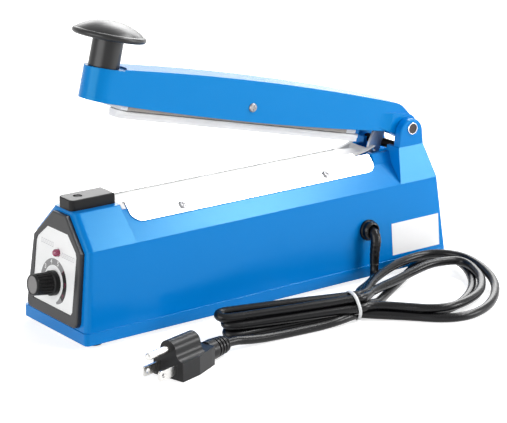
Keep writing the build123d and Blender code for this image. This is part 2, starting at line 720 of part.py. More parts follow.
# ---- inside the base -----------------------------------------------------------------------------
def make_transformer():
    """Laminated core on the bottom plate with its winding."""
    seat = PLATE_LOW + FLOOR_THICKNESS + 0.3
    core = block(CORE_START, CORE_END, -CORE_HALF, CORE_HALF, seat, CORE_TOP)
    for side in (-11, 11):
        core -= block(CORE_START + 9, CORE_END - 9, side - 5, side + 5, 10, CORE_TOP - 8)
    winding = block(CORE_START + 9.5, CORE_END - 9.5, -15.8, 15.8, 10.2, CORE_TOP - 8.2)
    winding -= block(CORE_START - 1, CORE_END + 1, -6.1, 6.1, 0, CORE_TOP + 6)
    return core, winding


def make_timer_board():
    """Circuit board on four posts with its relay, capacitors and blocks."""
    deck = BOARD_Z + BOARD_THICKNESS
    board = block(BOARD_START, BOARD_END, -22, 22, BOARD_Z, deck)
    for station, side, size in ((52, -12, 9), (68, 10, 12), (88, -8, 8)):
        half = size / 2
        board += block(station - half, station + half, side - half, side + half, deck, deck + size)
    board += Pos(92, 12, deck) * Cylinder(5, 14, align=(Align.CENTER, Align.CENTER, Align.MIN))
    for station in (BOARD_START + 3, BOARD_END - 3):
        for side in (-18, 18):
            board += rod((station, side, PLATE_LOW + FLOOR_THICKNESS + 0.2), (station, side, BOARD_Z), 2)
    return board


def make_gland():
    """Black cable gland: flared cap outside, barrel through the wall, nut inside."""
    bore = CORD_RADIUS + 0.05
    nut = WALL + 0.05
    profile = polygon([
        (bore, CORD_SEAT), (bore, GLAND_REACH - 3.2), (4.7, GLAND_REACH), (5.5, GLAND_REACH - 0.3),
        (6.3, GLAND_REACH - 1.6), (6.5, 2.0), (7.2, 1.6), (7.2, 0.02), (GLAND_BARREL, 0.02),
        (GLAND_BARREL, -nut), (6.6, -nut), (6.6, -WALL - 3.6), (0, -WALL - 3.6), (0, CORD_SEAT)])
    return side_wall(GLAND_X, GLAND_Z).location * revolve(Plane.XZ * profile, Axis.Z)


def make_sticker():
    """Bare white rating sticker on the near side wall."""
    plane = side_wall(*STICKER_PLACE).offset(0.02)
    return extrude(plane * Rectangle(*STICKER_SIZE), 0.15)


# ---- arm, drawn closed ---------------------------------------------------------------------------
def arm_plan(inset):
    """Plan of the arm: round nose, sides that widen towards the hinge."""
    radius = NOSE_RADIUS - inset
    rear = ARM_REAR_HALF - inset
    return make_face([
        ThreePointArc((NOSE_X, -radius), (NOSE_X - radius, 0), (NOSE_X, radius)),
        Line((NOSE_X, radius), (ARM_WIDEST, rear)),
        Line((ARM_WIDEST, rear), (LENGTH, rear)),
        Line((LENGTH, rear), (LENGTH, -rear)),
        Line((LENGTH, -rear), (ARM_WIDEST, -rear)),
        Line((ARM_WIDEST, -rear), (NOSE_X, -radius)),
    ])


def arm_side(inset):
    """Side view of the arm: crowned top, hollowed belly, rounded down to the hinge barrel."""
    radius = BARREL_RADIUS - inset
    crown_end = (269.5 - inset / 3, 110.2 - inset)
    belly_end = (262.5, 90.2 + inset)
    back = (HINGE_X + radius * cos(radians(58.6)), HINGE_Z + radius * sin(radians(58.6)))
    low = (HINGE_X + radius * cos(radians(-112)), HINGE_Z + radius * sin(radians(-112)))
    face = make_face([
        ThreePointArc((12, 109.2 - inset), (135, 113.9 - inset), crown_end),
        Line(crown_end, back),
        ThreePointArc(back, (HINGE_X + radius, HINGE_Z), low),
        Line(low, belly_end),
        ThreePointArc(belly_end, (125, 86.5 + inset), (12, 89.4 + inset)),
        Line((12, 89.4 + inset), (12, 109.2 - inset)),
    ])
    shoulder = face.vertices().sort_by_distance((269.5, 110.2, 0))[0]
    return fillet(shoulder, 16.0)


def arm_body(inset):
    return extrude(arm_plan(inset), 200) & sideways(arm_side(inset), 40)


def make_arm_shell():
    outer = arm_body(0)
    # Flat seat for the handle at the nose, then soft upper edges.
    seat = Pos(NOSE_X, 0, NOSE_TOP_Z) * Cylinder(
        NOSE_RADIUS + 2.5, 12, align=(Align.CENTER, Align.CENTER, Align.MIN))
    seat += block(0, NOSE_X, -20, 20, NOSE_TOP_Z, NOSE_TOP_Z + 12)
    outer -= seat
    barrel = rod((HINGE_X, -BARREL_HALF, HINGE_Z), (HINGE_X, BARREL_HALF, HINGE_Z), BARREL_RADIUS)
    swell = ThreePointArc(
        (ARM_WIDEST, ARM_REAR_HALF), (258.5, ARM_REAR_HALF + 0.6), (263, BARREL_HALF))
    collar_plan = make_face([
        swell,
        Line((263, BARREL_HALF), (HINGE_X, BARREL_HALF)),
        Line((HINGE_X, BARREL_HALF), (HINGE_X, -BARREL_HALF)),
        Line((HINGE_X, -BARREL_HALF), (263, -BARREL_HALF)),
        mirror(swell, Plane.XZ),
        Line((ARM_WIDEST, -ARM_REAR_HALF), (ARM_WIDEST, ARM_REAR_HALF)),
    ])
    collar = extrude(collar_plan, 200) & sideways(polygon([
        (250, 92.5), (262.5, 90.2), (HINGE_X, HINGE_Z - BARREL_RADIUS), (HINGE_X, HINGE_Z + BARREL_RADIUS),
        (262, 103.2), (250, 102)]), 40)
    outer = outer + barrel + collar

    hollow = arm_body(ARM_WALL)
    for cheek in both_sides(block(264, LENGTH, 13.6, 40, 60, 130)):
        hollow -= cheek
    mouth = extrude(arm_plan(ARM_WALL), 100) & block(0, 266, -40, 40, 70, 98)
    shell = outer - hollow - mouth
    # Way through the belly for the lift lever and the spring's lower leg.
    shell -= block(258, HINGE_X + 2.2, -9.5, 5.8, 80, 92)
    shell -= rod((HINGE_X, -40, HINGE_Z), (HINGE_X, 40, HINGE_Z), PIN_RADIUS + 0.15)
    shell -= rod((NOSE_X, 0, 100), (NOSE_X, 0, 120), BOLT_HOLE)
    return shell - arm_screw_hole()


def arm_screw_hole():
    """Cutter for the pair of screws that hold the channel in the arm."""
    station, height = ARM_SCREW
    return rod((station, -30, height), (station, 30, height), ARM_SCREW_HOLE)


def make_strip_channel():
    """Steel channel inside the arm that carries the strip: web above, legs down to below the shell."""
    inner = CHANNEL_HALF - CHANNEL_SHEET
    channel = block(CHANNEL_START, CHANNEL_END, -CHANNEL_HALF, CHANNEL_HALF, CHANNEL_BOTTOM, CHANNEL_TOP)
    channel -= block(
        CHANNEL_START - 1, CHANNEL_END + 1, -inner, inner, CHANNEL_BOTTOM - 1, CHANNEL_TOP - CHANNEL_SHEET)
    shelf = CHANNEL_BOTTOM + CHANNEL_SHELF
    channel += block(
        CHANNEL_START, CHANNEL_END, -inner - 0.5, inner + 0.5, shelf, shelf + CHANNEL_SHEET)
    return channel - arm_screw_hole()


def make_strip():
    """White silicone strip: wide lip, narrower sealing face, tongue up into the channel."""
    length = STRIP_END - STRIP_START
    middle = Pos((STRIP_START + STRIP_END) / 2, 0, 0)
    face = middle * Pos(0, 0, STRIP_BOTTOM) * RectangleRounded(length, 2 * STRIP_FACE, 4.5)
    lip = middle * Pos(0, 0, STRIP_STEP) * RectangleRounded(length, 2 * STRIP_HALF, 5.5)
    strip = extrude(face, STRIP_STEP - STRIP_BOTTOM) + extrude(lip, STRIP_TOP - STRIP_STEP)
    tongue = CHANNEL_BOTTOM + CHANNEL_SHELF - 0.05
    strip += block(CHANNEL_START + 2, CHANNEL_END - 2, -5, 5, STRIP_STEP, tongue)
    return strip


def make_end_block():
    """White stops at both ends of the channel."""
    ends = []
    for start, end in ((CHANNEL_START - 0.1 - STOP_LENGTH, CHANNEL_START - 0.1), (CHANNEL_END + 0.1, STOP_END)):
        ends.append(block(start, end, -CHANNEL_HALF, CHANNEL_HALF, CHANNEL_BOTTOM + 0.1, STOP_TOP))
    return joined(ends)


def make_arm_screws():
    """Two cheese-head screws through the arm's flanks into the channel."""
    station, height = ARM_SCREW
    slope = (ARM_REAR_HALF - NOSE_RADIUS) / (ARM_WIDEST - NOSE_X)
    flank = NOSE_RADIUS + slope * (station - NOSE_X)
    head = polygon([(0, 1.4), (2.4, 1.2), (3.0, 0.5), (3.0, 0.02), (1.5, 0.02), (1.5, -7.4), (0, -7.4)])
    screw = revolve(Plane.XZ * head, Axis.Z)
    screw -= Pos(0, 0, 1.4) * (Box(3.4, 0.6, 1.4) + Box(0.6, 3.4, 1.4))
    place = Plane(origin=(station, -flank, height), z_dir=(-sin(atan(slope)), -cos(atan(slope)), 0))
    return joined(both_sides(place.location * screw))


def make_handle():
    """Black mushroom handle: round stem, shallow domed disc with a soft rim."""
    under_rim = (HANDLE_RADIUS - 2.0, RIM_Z - 1.8)
    over_rim = (HANDLE_RADIUS - 1.9, RIM_Z + 2.2)
    profile = make_face([
        Line((BOLT_BORE, NOSE_TOP_Z), (STEM_RADIUS, NOSE_TOP_Z)),
        Line((STEM_RADIUS, NOSE_TOP_Z), (STEM_RADIUS, RIM_Z - 2.7)),
        Line((STEM_RADIUS, RIM_Z - 2.7), under_rim),
        ThreePointArc(under_rim, (HANDLE_RADIUS, RIM_Z), over_rim),
        Spline(over_rim, (13.5, RIM_Z + 7.0), (0, CROWN_Z), tangents=((-0.75, 0.66), (-1, 0))),
        Line((0, CROWN_Z), (0, RIM_Z - 4)),
        Line((0, RIM_Z - 4), (BOLT_BORE, RIM_Z - 4)),
        Line((BOLT_BORE, RIM_Z - 4), (BOLT_BORE, NOSE_TOP_Z)),
    ])
    return Pos(NOSE_X, 0, 0) * revolve(Plane.XZ * profile, Axis.Z)


def make_handle_bolt():
    """Bolt from inside the nose up into the handle's stem."""
    thread = BOLT_BORE - 0.2
    seat = NOSE_TOP_Z - ARM_WALL - 0.9
    profile = polygon([
        (0, seat - 3), (4.6, seat - 3), (4.6, seat), (thread, seat), (thread, RIM_Z - 5), (0, RIM_Z - 5)])
    return Pos(NOSE_X, 0, 0) * revolve(Plane.XZ * profile, Axis.Z)


def make_strike_pin():
    """Pin hanging from the nose's roof that reaches the switch plunger when the arm is down."""
    return rod((STRIKE_X, 0, STRIKE_TIP), (STRIKE_X, 0, 106.5), STRIKE_RADIUS)


def make_lift_lever():
    """Flat steel lever fixed in the arm, reaching down through the trough for the return spring."""
    outline = polygon([
        (263.5, 103.5), (270.0, 103.5), (270.0, 96.3), (268.7, 86.5), (267.0, 73.5), (266.2, 71.3),
        (258.1, 70.9), (256.7, 75.2), (257.2, 80.5), (259.0, 87.6), (263.5, 99.9)])
    outline -= Pos(262.3, 75) * Circle(1.4)
    return extrude(Plane.XZ.offset(-LEVER_FAR) * outline, LEVER_FAR - LEVER_NEAR)


# ---- cord, drawn in the part's own frame ---------------------------------------------------------
# Lead: out of the gland, down beside the housing, along the floor to the tie.
LEAD_ROUTE = [
    (87.9, -33.87, 35.61), (87.9, -41.0, 36.28), (87.6, -45.0, 31.6), (87.1, -45.0, 24.6), (86.8, -45.0, 16.5),
    (86.0, -46.0, 9.8), (82.4, -49.2, 6.0), (74.5, -54.4, 5.6), (63.5, -61.4, 6.4), (52.5, -68.8, 7.8),
    (42.0, -77.2, 8.8), (36.0, -82.6, 9.4),
]
# Tail: from the tie to the plug's strain relief.
TAIL_ROUTE = [
    (25.0, -97.6, 8.0), (13.5, -97.2, 4.3), (0.0, -95.6, 3.1), (-15.0, -94.0, 3.0), (-30.0, -92.6, 3.05),
    (-44.0, -91.9, 3.5), (-56.5, -91.2, 4.8), (-66.4, -90.25, 6.4), (-75.4, -92.49, 6.78),
]


def bend_radii(route):
    """Radius at each inner point: 0.45 of the shorter run beside it over the tangent of half the turn."""
    points = [Vector(*p) for p in route]
    radii = []
    for before, here, after in zip(points, points[1:], points[2:]):
        turn = radians((here - before).get_angle(after - here))
        run = min((here - before).length, (after - here).length)
        radii.append(0.45 * run / tan(turn / 2))
    return radii


def cord_tube(name, route):
    """A round tube along straight runs joined by tangent arcs."""
    radii = bend_radii(route)
    path = FilletPolyline(*route, radius=radii)
    start = Plane(origin=path @ 0, z_dir=path % 0)
    tube = sweep(start * Circle(CORD_RADIUS), path=path)
    ratio = tube.volume / (pi * CORD_RADIUS ** 2 * path.length)
    print(f"{name}: radii {[round(r, 1) for r in radii]}, length {path.length:.1f}, volume ratio {ratio:.4f}")
    return tube


def make_hank():
    """Outer shape of the tied hank: a narrow folded end, a waist, and a wide looped end round a hole."""
    def around(circles):
        edges = [edge for x, y, radius in circles for edge in (Pos(x, y) * Circle(radius)).edges()]
        return make_hull(edges)
    waist = (WAIST[0], WAIST[1], 9.0)
    folded = around([waist, (-56.5, -66.0, 8.5), (-54.0, -73.5, 8.5)])
    looped = around([
        waist, (118.3, -42.9, 3.1), (135.3, -42.2, 3.1), (150.0, -45.5, 3.1), (157.0, -54.0, 3.1),
        (160.3, -66.0, 3.1), (157.0, -84.0, 3.1), (139.3, -110.2, 3.1), (107.3, -132.5, 3.1),
        (91.3, -137.0, 3.1), (77.3, -135.5, 3.1), (64.8, -127.7, 3.1)])
    hole = around([
        (60.0, -91.0, 3.0), (110.0, -61.0, 5.0), (137.0, -59.0, 6.0), (146.0, -70.0, 6.0), (136.0, -92.0, 6.0),
        (100.0, -112.0, 6.0), (76.0, -107.0, 4.0)])
    sides = polygon([
        (-70.0, 0.1), (-70.0, 17.5), (-30.0, 19.0), (30.0, 19.4), (70.0, 17.5), (137.0, 15.0), (168.0, 7.0),
        (168.0, 0.1)])
    hank = extrude(folded + looped - hole, 25.0) & sideways(sides, 160)
    return hank - tie_slab(45.0)


def tie_slab(reach):
    """What lies outside the bundle in the tie's plane, out to a radius."""
    plane = Plane(origin=WAIST, z_dir=TIE_FACING).offset(-TIE_WIDTH / 2)
    return extrude(plane * (Circle(reach) - Circle(TIE_INNER)), TIE_WIDTH)


def make_tie():
    return tie_slab(TIE_OUTER)


def plug_place():
    """Plug coordinates: x towards the blades' tips, y across, z up from the floor."""
    return Pos(PLUG_FACE[0], PLUG_FACE[1], 0) * Rot(0, 0, 180 + PLUG_YAW)


def make_plug_body():
    """Moulded body: a flat base that narrows to the rear, and a round pod for the ground pin on top."""
    front = make_face([
        Line((12, 0.2), (12, 12.4)),
        ThreePointArc((12, 12.4), (7.9, 14.2), (6.3, 18.0)),
        ThreePointArc((6.3, 18.0), (0, 24.3), (-6.3, 18.0)),
        ThreePointArc((-6.3, 18.0), (-7.9, 14.2), (-12, 12.4)),
        Line((-12, 12.4), (-12, 0.2)),
        Line((-12, 0.2), (12, 0.2)),
    ])
    plan = polygon([
        (0, -12), (0, 12), (-16, 11.7), (-31, 8.4), (BODY_END, 7.4), (BODY_END, -7.4), (-31, -8.4),
        (-16, -11.7)])
    pod = across(front, POD_END, 0)
    base = extrude(Pos(0, 0, 0.2) * plan, 12.2)
    body = (pod & extrude(plan, 30)) + base
    body -= rod((GROUND_ROOT, 0, PIN_Z), (1, 0, PIN_Z), GROUND_RADIUS)
    slot = BLADE_THICKNESS / 2 + 0.01
    for side in (-BLADE_SIDE, BLADE_SIDE):
        body -= block(BLADE_ROOT, 1, side - slot, side + slot, BLADE_Z - BLADE_HALF, BLADE_Z + BLADE_HALF)
    return body


def make_plug_relief():
    """Ribbed, tapered strain relief moulded on the plug."""
    profile = [(0, BODY_END - 0.02), (6.4, BODY_END - 0.02)]
    for rib in range(RELIEF_RIBS):
        at = -40.0 - 3.0 * rib
        wide = 6.6 - 0.25 * rib
        profile += [(wide, at), (wide, at - 1.7), (wide - 1.2, at - 1.7), (wide - 1.2, at - 2.9)]
    profile += [(5.4, -51.8), (5.2, RELIEF_END), (0, RELIEF_END)]
    return Pos(0, 0, CORD_HEIGHT) * Rot(0, 90, 0) * revolve(Plane.XZ * polygon(profile), Axis.Z)


def make_blades():
    """Two flat blades, each with its round hole near the tip."""
    low = BLADE_Z - BLADE_HALF
    high = BLADE_Z + BLADE_HALF
    outline = polygon([
        (BLADE_ROOT, low), (BLADE_TIP - 1, low), (BLADE_TIP, low + 0.95), (BLADE_TIP, high - 0.95),
        (BLADE_TIP - 1, high), (BLADE_ROOT, high)])
    outline -= Pos(11.9, BLADE_Z) * Circle(1.55)
    blade = sideways(outline, BLADE_THICKNESS / 2)
    return joined([Pos(0, side, 0) * blade for side in (-BLADE_SIDE, BLADE_SIDE)])


def make_ground_pin():
    """Round ground pin with a rounded tip."""
    profile = polygon([
        (0, GROUND_ROOT), (GROUND_RADIUS, GROUND_ROOT), (GROUND_RADIUS, GROUND_TIP - 2),
        (1.6, GROUND_TIP - 0.5), (0, GROUND_TIP)])
    return Pos(0, 0, PIN_Z) * Rot(0, 90, 0) * revolve(Plane.XZ * profile, Axis.Z)


# ---- build ---------------------------------------------------------------------------------------
save("base_shell", make_base_shell())
save("bottom_plate", make_bottom_plate())
save("rubber_feet", make_feet())
save("foot_screws", make_foot_screws())
save("control_bezel", make_bezel())
save("label_plate", make_label_plate())
save("indicator_lamp", make_lamp())
save("timer_knob", make_knob())
save("timer_shaft", make_shaft())
save("timer_potentiometer", make_potentiometer())
save("timer_board", make_timer_board())
transformer_core, transformer_winding = make_transformer()
save("transformer_core", transformer_core)
save("transformer_winding", joined([transformer_winding]))
save("microswitch", make_microswitch())
save("switch_plunger", make_plunger())
save("switch_cover", make_switch_cover())
save("insulation_tape", make_tape())
save("heating_band", make_band())
save("band_terminals", make_terminals())
save("release_cloth", make_cloth())
near_plate = make_clamp_plate()
save("clamp_plate_near", near_plate)
save("clamp_plate_far", mirror(near_plate, Plane.XZ))
save("clamp_screws", make_clamp_screws())
save("hinge_pin", make_hinge_pin())
save("spring_rest", make_spring_rest())
save("return_spring", make_return_spring())
save("cable_gland", make_gland())
save("rating_sticker", make_sticker())

save_arm("arm_shell", make_arm_shell())
save_arm("strip_channel", make_strip_channel())
save_arm("silicone_strip", make_strip())
save_arm("strip_end_block", make_end_block())
save_arm("arm_screws", make_arm_screws())
save_arm("press_handle", make_handle())
save_arm("handle_bolt", make_handle_bolt())
save_arm("strike_pin", make_strike_pin())
save_arm("lift_lever", make_lift_lever())

save_cord("power_cord_lead", cord_tube("lead", LEAD_ROUTE))
save_cord("power_cord_tail", cord_tube("tail", TAIL_ROUTE))
save_cord("cord_hank", make_hank())
save_cord("cord_tie", make_tie())
for name, piece in (
        ("plug_body", make_plug_body()), ("plug_relief", make_plug_relief()),
        ("plug_blades", make_blades()), ("plug_ground_pin", make_ground_pin())):
    save_cord(name, plug_place() * piece)
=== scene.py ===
# Hand-held bag heat sealer, dressed for show.  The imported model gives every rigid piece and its
# place; this script adds the finishes, the mains cord, its relief and tie, the return spring, the
# release cloth, the print on the control panel and the studio.
#
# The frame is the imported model's: x runs back from the control panel to the hinge, y away from the
# side that the mains cord leaves, z up from the surface that the sealer stands on.  Lengths are in
# metres; the cord's route and the cloth are laid out in millimetres and made in metres.
import json
import math
from functools import cached_property
import bpy
from mathutils import Matrix, Vector


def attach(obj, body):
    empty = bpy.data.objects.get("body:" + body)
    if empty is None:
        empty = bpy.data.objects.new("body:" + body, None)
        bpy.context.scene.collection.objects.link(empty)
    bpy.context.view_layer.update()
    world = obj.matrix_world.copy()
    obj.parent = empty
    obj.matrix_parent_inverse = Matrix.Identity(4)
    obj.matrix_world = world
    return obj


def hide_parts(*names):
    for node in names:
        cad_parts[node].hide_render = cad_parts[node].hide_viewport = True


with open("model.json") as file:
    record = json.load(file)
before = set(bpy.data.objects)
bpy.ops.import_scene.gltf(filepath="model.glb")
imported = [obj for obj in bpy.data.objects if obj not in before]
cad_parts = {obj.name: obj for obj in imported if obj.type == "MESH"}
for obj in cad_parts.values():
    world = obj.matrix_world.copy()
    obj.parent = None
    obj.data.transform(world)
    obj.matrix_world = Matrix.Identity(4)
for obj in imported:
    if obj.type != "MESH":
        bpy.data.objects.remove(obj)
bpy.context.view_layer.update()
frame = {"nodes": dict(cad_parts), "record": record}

MM = 0.001

# ---- the sealer's own dimensions ---------------------------------------------------------------
MID_STATION = 142.5 * MM      # from the skirt's front edge back to the frame's origin
FOOT_DROP = 3.0 * MM          # the skirt stands this far above the bench
SHOULDER_HALF = 32.4 * MM     # where a side wall meets the bevel beside the sealing table
SHOULDER_Z = 59.1 * MM
TABLE_HALF = 12.4 * MM        # where that bevel meets the table
TABLE_Z = 78.4 * MM
BEVEL_SLOPE = math.atan2(TABLE_Z - SHOULDER_Z, SHOULDER_HALF - TABLE_HALF)

hinge = next(joint for joint in frame["record"]["behaviour"]["joints"] if joint["name"] == "arm_hinge")
HINGE = Vector(hinge["pos_m"])
PIN_CORE = 3.45 * MM          # radius of the dark end inside the hinge pin's bright rim

FRONT_RAKE = 0.117            # how far the front leans back, per metre of height
PANEL_RAKE = math.atan(FRONT_RAKE)
PANEL_OUT = Vector((-math.cos(PANEL_RAKE), 0, math.sin(PANEL_RAKE)))
PANEL_UP = Vector((math.sin(PANEL_RAKE), 0, math.cos(PANEL_RAKE)))
PANEL_RIGHT = Vector((0, -1, 0))
LABEL_FACE = 3.0 * MM         # label plate's face, measured out from the housing's front
KNOB_UP = 32.0 * MM           # knob's axis, up the panel from the skirt's underside
KNOB_TIP = 19.4 * MM          # knob's end, measured out from the housing's front
KNOB_DISC = 5.75 * MM         # radius of the printed disc on its end
DISC_DEPTH = 0.6 * MM         # a little more than the depth of the dish that it lies in

# ---- mains cord: its route in millimetres ------------------------------------------------------
CORD_DIAMETER = 6.0 * MM

# The lead leaves the gland, hangs down beside the housing and runs to the tie.
LEAD = [
    (87.9, -33.87, 35.61), (87.9, -41.0, 36.28), (87.0, -45.0, 31.6), (86.0, -45.0, 24.6),
    (85.6, -45.0, 16.5), (85.0, -46.0, 9.8), (82.4, -49.2, 6.0), (74.5, -54.4, 5.6),
    (63.5, -61.4, 6.4), (52.5, -68.8, 7.8), (40.0, -83.5, 9.3),
]
# The tail runs from the tie to the plug.
TAIL = [
    (13.5, -97.2, 4.3), (0.0, -95.6, 3.1), (-15.0, -94.0, 3.0), (-30.0, -92.6, 3.05),
    (-44.0, -91.9, 3.5), (-56.5, -91.2, 4.8), (-66.4, -90.25, 6.4), (-75.4, -92.49, 6.78),
]

# Between them the cord goes seven times through the tie, where its strands pack round one another.
# Each strand has a place across the bundle, in strand spacings, and one up from the middle strand.
WAIST = Vector((29.3, -91.3, 9.6))
BUNDLE_ALONG = Vector((0.962, -0.275, 0))
BUNDLE_ACROSS = Vector((0.275, 0.962, 0))
STRAIGHT = 5.0                # each strand runs straight this far past the tie
STRAND_SPACING = 6.25
STRANDS = {
    "top_far": (0.5, 5.4), "top_near": (-0.5, 5.4),
    "mid_far": (1.0, 0.0), "mid": (0.0, 0.0), "mid_near": (-1.0, 0.0),
    "low_far": (0.5, -5.4), "low_near": (-0.5, -5.4),
}

# Towards the plug the hank ends in three tight folds.
FOLD_ALONG = Vector((-0.958, 0.287, 0))
FOLD_ACROSS = Vector((0.287, 0.958, 0))
FOLD_RADIUS = 4.2
FOLD_SHARES = (0.22, 0.48, 0.74)    # points of each run, as shares of the fold's reach
FOLD_SPREAD = 0.8                   # below 1, so that the runs come to their place across early
FOLD_SINK = 1.6                     # the runs come to their height this many times as early
TIP_SETBACK = 6.0                   # the tip's arc starts this far short of the fold's reach
TIP_STEPS = 4
# The cord passes inside the arc's points, so they stand out by these factors of its radius.
TIP_OUT = 1.31
TIP_ASIDE = 1.08

# Away from the plug it ends in three wide loops.  These are the places that each passes, in the
# order that the cord takes them: x and y from the tie, z from the bench.  The inner loop lies under
# the middle one at first and comes up behind it.
INNER_LOOP = [
    (14, -6, 3.8), (22, -11, 3.2), (35, -24, 3), (61, -29, 3), (94, -11, 3), (115, 13, 4.2),
    (125, 37, 5.4), (119, 49, 5.8), (102, 51, 4.8), (73, 36, 3.4), (40, 16, 3.2), (24, 5, 4.6),
]
MIDDLE_LOOP = [
    (10, -7.5, 9.4), (23, -16, 8.6), (37, -32, 8.6), (55, -38, 8.4), (86, -26, 6.8), (105, -9, 7.0),
    (113, 4, 8.2), (117, 23, 10.6), (101, 29, 11.6), (86, 29.5, 11), (57, 22, 9.8), (27, 12.5, 10.4),
    (14.5, 1.5, 13.4),
]
WIDEST_LOOP = [
    (15, 5.8, 14.4), (39, 26, 12.4), (73, 43.5, 11.2), (97, 47.5, 11.6), (113, 42, 12),
    (122, 25, 11.4), (118, 0, 9), (107, -21, 5.2), (81, -41, 3.2), (50, -45.3, 3), (26, -22, 3),
    (11, -10.5, 3.8),
]
POINTS_PER_LOOP = 24

# ---- relief, tie and spring --------------------------------------------------------------------
RELIEF_START = 4.0 * MM       # along the cord, from its exit
RELIEF_LENGTH = 26.0 * MM
RELIEF_SKIN = 0.12 * MM       # its thickness at the thin end
RELIEF_TAPER = 0.75 * MM      # how much thicker it starts
RELIEF_RIB = 0.12 * MM
RELIEF_PITCH = 1.3 * MM
RIBBED_SHARE = 0.75           # its last quarter is smooth

TIE_RADIUS = 9.15 * MM
TIE_SWELL = 0.15 * MM         # it stands out this much more over each of the six outer strands
TIE_WIDTH = 2.2 * MM
TIE_THICKNESS = 0.9 * MM
TIE_BULGE = 0.05 * MM         # of its inner face, towards the strands
TIE_FACING = (0.965, -0.19, 0.18)
TIE_STEPS = 72

SPRING_WIRE = 0.8 * MM        # radius
SPRING_COIL = 5.6 * MM        # radius of the coils' centreline
SPRING_TURNS = 6
SPRING_UPPER_LEG = [(-15.2 * MM, 7.6 * MM), (-7.0 * MM, 6.5 * MM)]        # x and z from the pin's axis
SPRING_LOWER_LEG = [(-7.5 * MM, -11.8 * MM), (-14.7 * MM, -19.5 * MM)]
STEPS_PER_COIL = 16

# ---- release cloth, in millimetres from the skirt's front edge and underside -------------------
CLOTH_START = 43.2
CLOTH_END = 255.0
CLOTH_STATIONS = 250
CLOTH_COLUMNS = (0.0, 1.5, 3.0, 4.5, 6.0, 7.2, 8.0, 8.4, 8.8, 9.6, 10.4, 11.3, 12.2)
CLOTH_THICKNESS = 0.22
CLOTH_LIFT = 0.15             # of the cloth's middle surface above the lines below
CLOTH_RIPPLE = 0.05
RIPPLE_ALONG = 6.1            # its waves' lengths over 2 pi: along the cloth, across it and askew
RIPPLE_ACROSS = 3.3
RIPPLE_SKEW = 21
TUCK_END = 47.3               # the front corners fold down over the bevels up to here
TUCK_DROP = 3.6
TUCK_COLUMNS = 4
EDGE_FLAP = 8.4               # behind the middle's end only the edges beyond this go on
EDGE_EASE = (8.0, 8.8)        # between these the middle's height gives way to the edges'
MIDDLE_RISE = [(43, 78.95), (247.2, 78.95), (247.8, 79.2), (248.9, 80.6), (251.6, 82.0)]
EDGE_RISE = [(43, 78.95), (236.2, 78.95), (241.0, 79.5), (245.5, 80.3), (250.0, 81.4), (255.0, 83.2)]

# ---- print on the control panel ----------------------------------------------------------------
INK = 0.03 * MM
DIAL_ASIDE = -0.8 * MM        # the dial's middle, right of the knob's axis
DIAL_INNER = 11.3 * MM
DIAL_OUTER = 15.5 * MM
DIAL_MIDDLE = (DIAL_INNER + DIAL_OUTER) / 2
# The dial's grey, black and narrowing grey arcs; degrees anticlockwise from the right.
GREY_FROM = 228
BLACK_FROM = 44
TIP_FROM = -40
TIP_TO = -68
TIP_END_WIDTH = 0.3           # of the dial's full width
ARC_STEP = 4
NUMERALS = 8
NUMERAL_FIRST = 212
NUMERAL_SPACING = 34.5
NUMERAL_RED_FROM = 6
NUMERAL_SIZE = 4.2 * MM
NUMERAL_WEIGHT = 0.10 * MM
# Rows of small outlined boxes: the lower left corner of each, right and up the panel.
PANEL_MARKS = {"panel_marks_left": (-18.6 * MM, 54.4 * MM), "panel_marks_right": (6.6 * MM, 50.4 * MM)}
MARKS_PER_ROW = 6
MARK_PITCH = 2.55 * MM
MARK_WIDTH = 1.75 * MM
MARK_HEIGHT = 3.1 * MM
MARK_LINE = 0.28 * MM

# ---- studio ------------------------------------------------------------------------------------
CAMERA_AZIMUTH = math.radians(-36.73)
CAMERA_ELEVATION = math.radians(17.07)
CAMERA_TARGET = Vector((-0.04858, -0.08683, 0.08670))
CAMERA_DISTANCE = 1.30534
CAMERA_LENS = 149.13          # millimetres, as is the sensor
CAMERA_SENSOR = 36

AMBIENT = 0.12
FLOOR_HALF = 6
FLOOR_LIFT = 0.72             # the floor's own light near the sealer, where its shadow shows
FLOOR_NEAR = 0.548            # between these distances it rises to a full white
FLOOR_FAR = 1.414

LAMP_AIM = Vector((0, 0, 0.06))
# Each soft lamp: name, direction from the sealer, distance, width and height, watts.
SOFTBOXES = [
    ("key_softbox", (0.57, -0.25, 0.78), 1.5, (1.35, 0.22), 17),
    ("fill_softbox", (-0.97, -0.15, 0.22), 2.0, (1.8, 1.5), 29),
    ("rim_softbox", (0.65, 0.72, 0.34), 2.6, (2.4, 0.8), 25),
    ("crown_softbox", (0.62, 0.52, 0.57), 2.0, (0.9, 0.6), 14),
    ("low_softbox", (0.72, -0.66, 0.22), 1.7, (0.9, 0.36), 15),
]


def bench(x, y, z):
    """A point given from the skirt's front edge and underside, in the frame."""
    return Vector((x - MID_STATION, y, z + FOOT_DROP))


def on_panel(right, up, out):
    """A point of the control panel: to the right, up the leaning face and out from the housing."""
    return bench(0, 0, 0) + PANEL_RIGHT * right + PANEL_UP * up + PANEL_OUT * out


# ---- shader writing ----------------------------------------------------------------------------
class Amount:
    """A node's output that can be used in sums; each sum adds its Math node."""

    def __init__(self, finish, socket):
        self.finish = finish
        self.socket = socket

    def worked(self, operation, first, second):
        """The Math node that works out one operation."""
        return self.finish.add("ShaderNodeMath", {"operation": operation}, {0: first, 1: second})

    def __add__(self, other):
        return self.worked("ADD", self, other)

    def __radd__(self, other):
        return self.worked("ADD", other, self)

    def __sub__(self, other):
        return self.worked("SUBTRACT", self, other)

    def __rsub__(self, other):
        return self.worked("SUBTRACT", other, self)

    def __mul__(self, other):
        return self.worked("MULTIPLY", self, other)

    def __rmul__(self, other):
        return self.worked("MULTIPLY", other, self)

    def __gt__(self, other):
        return self.worked("GREATER_THAN", self, other)

    def __lt__(self, other):
        return self.worked("LESS_THAN", self, other)


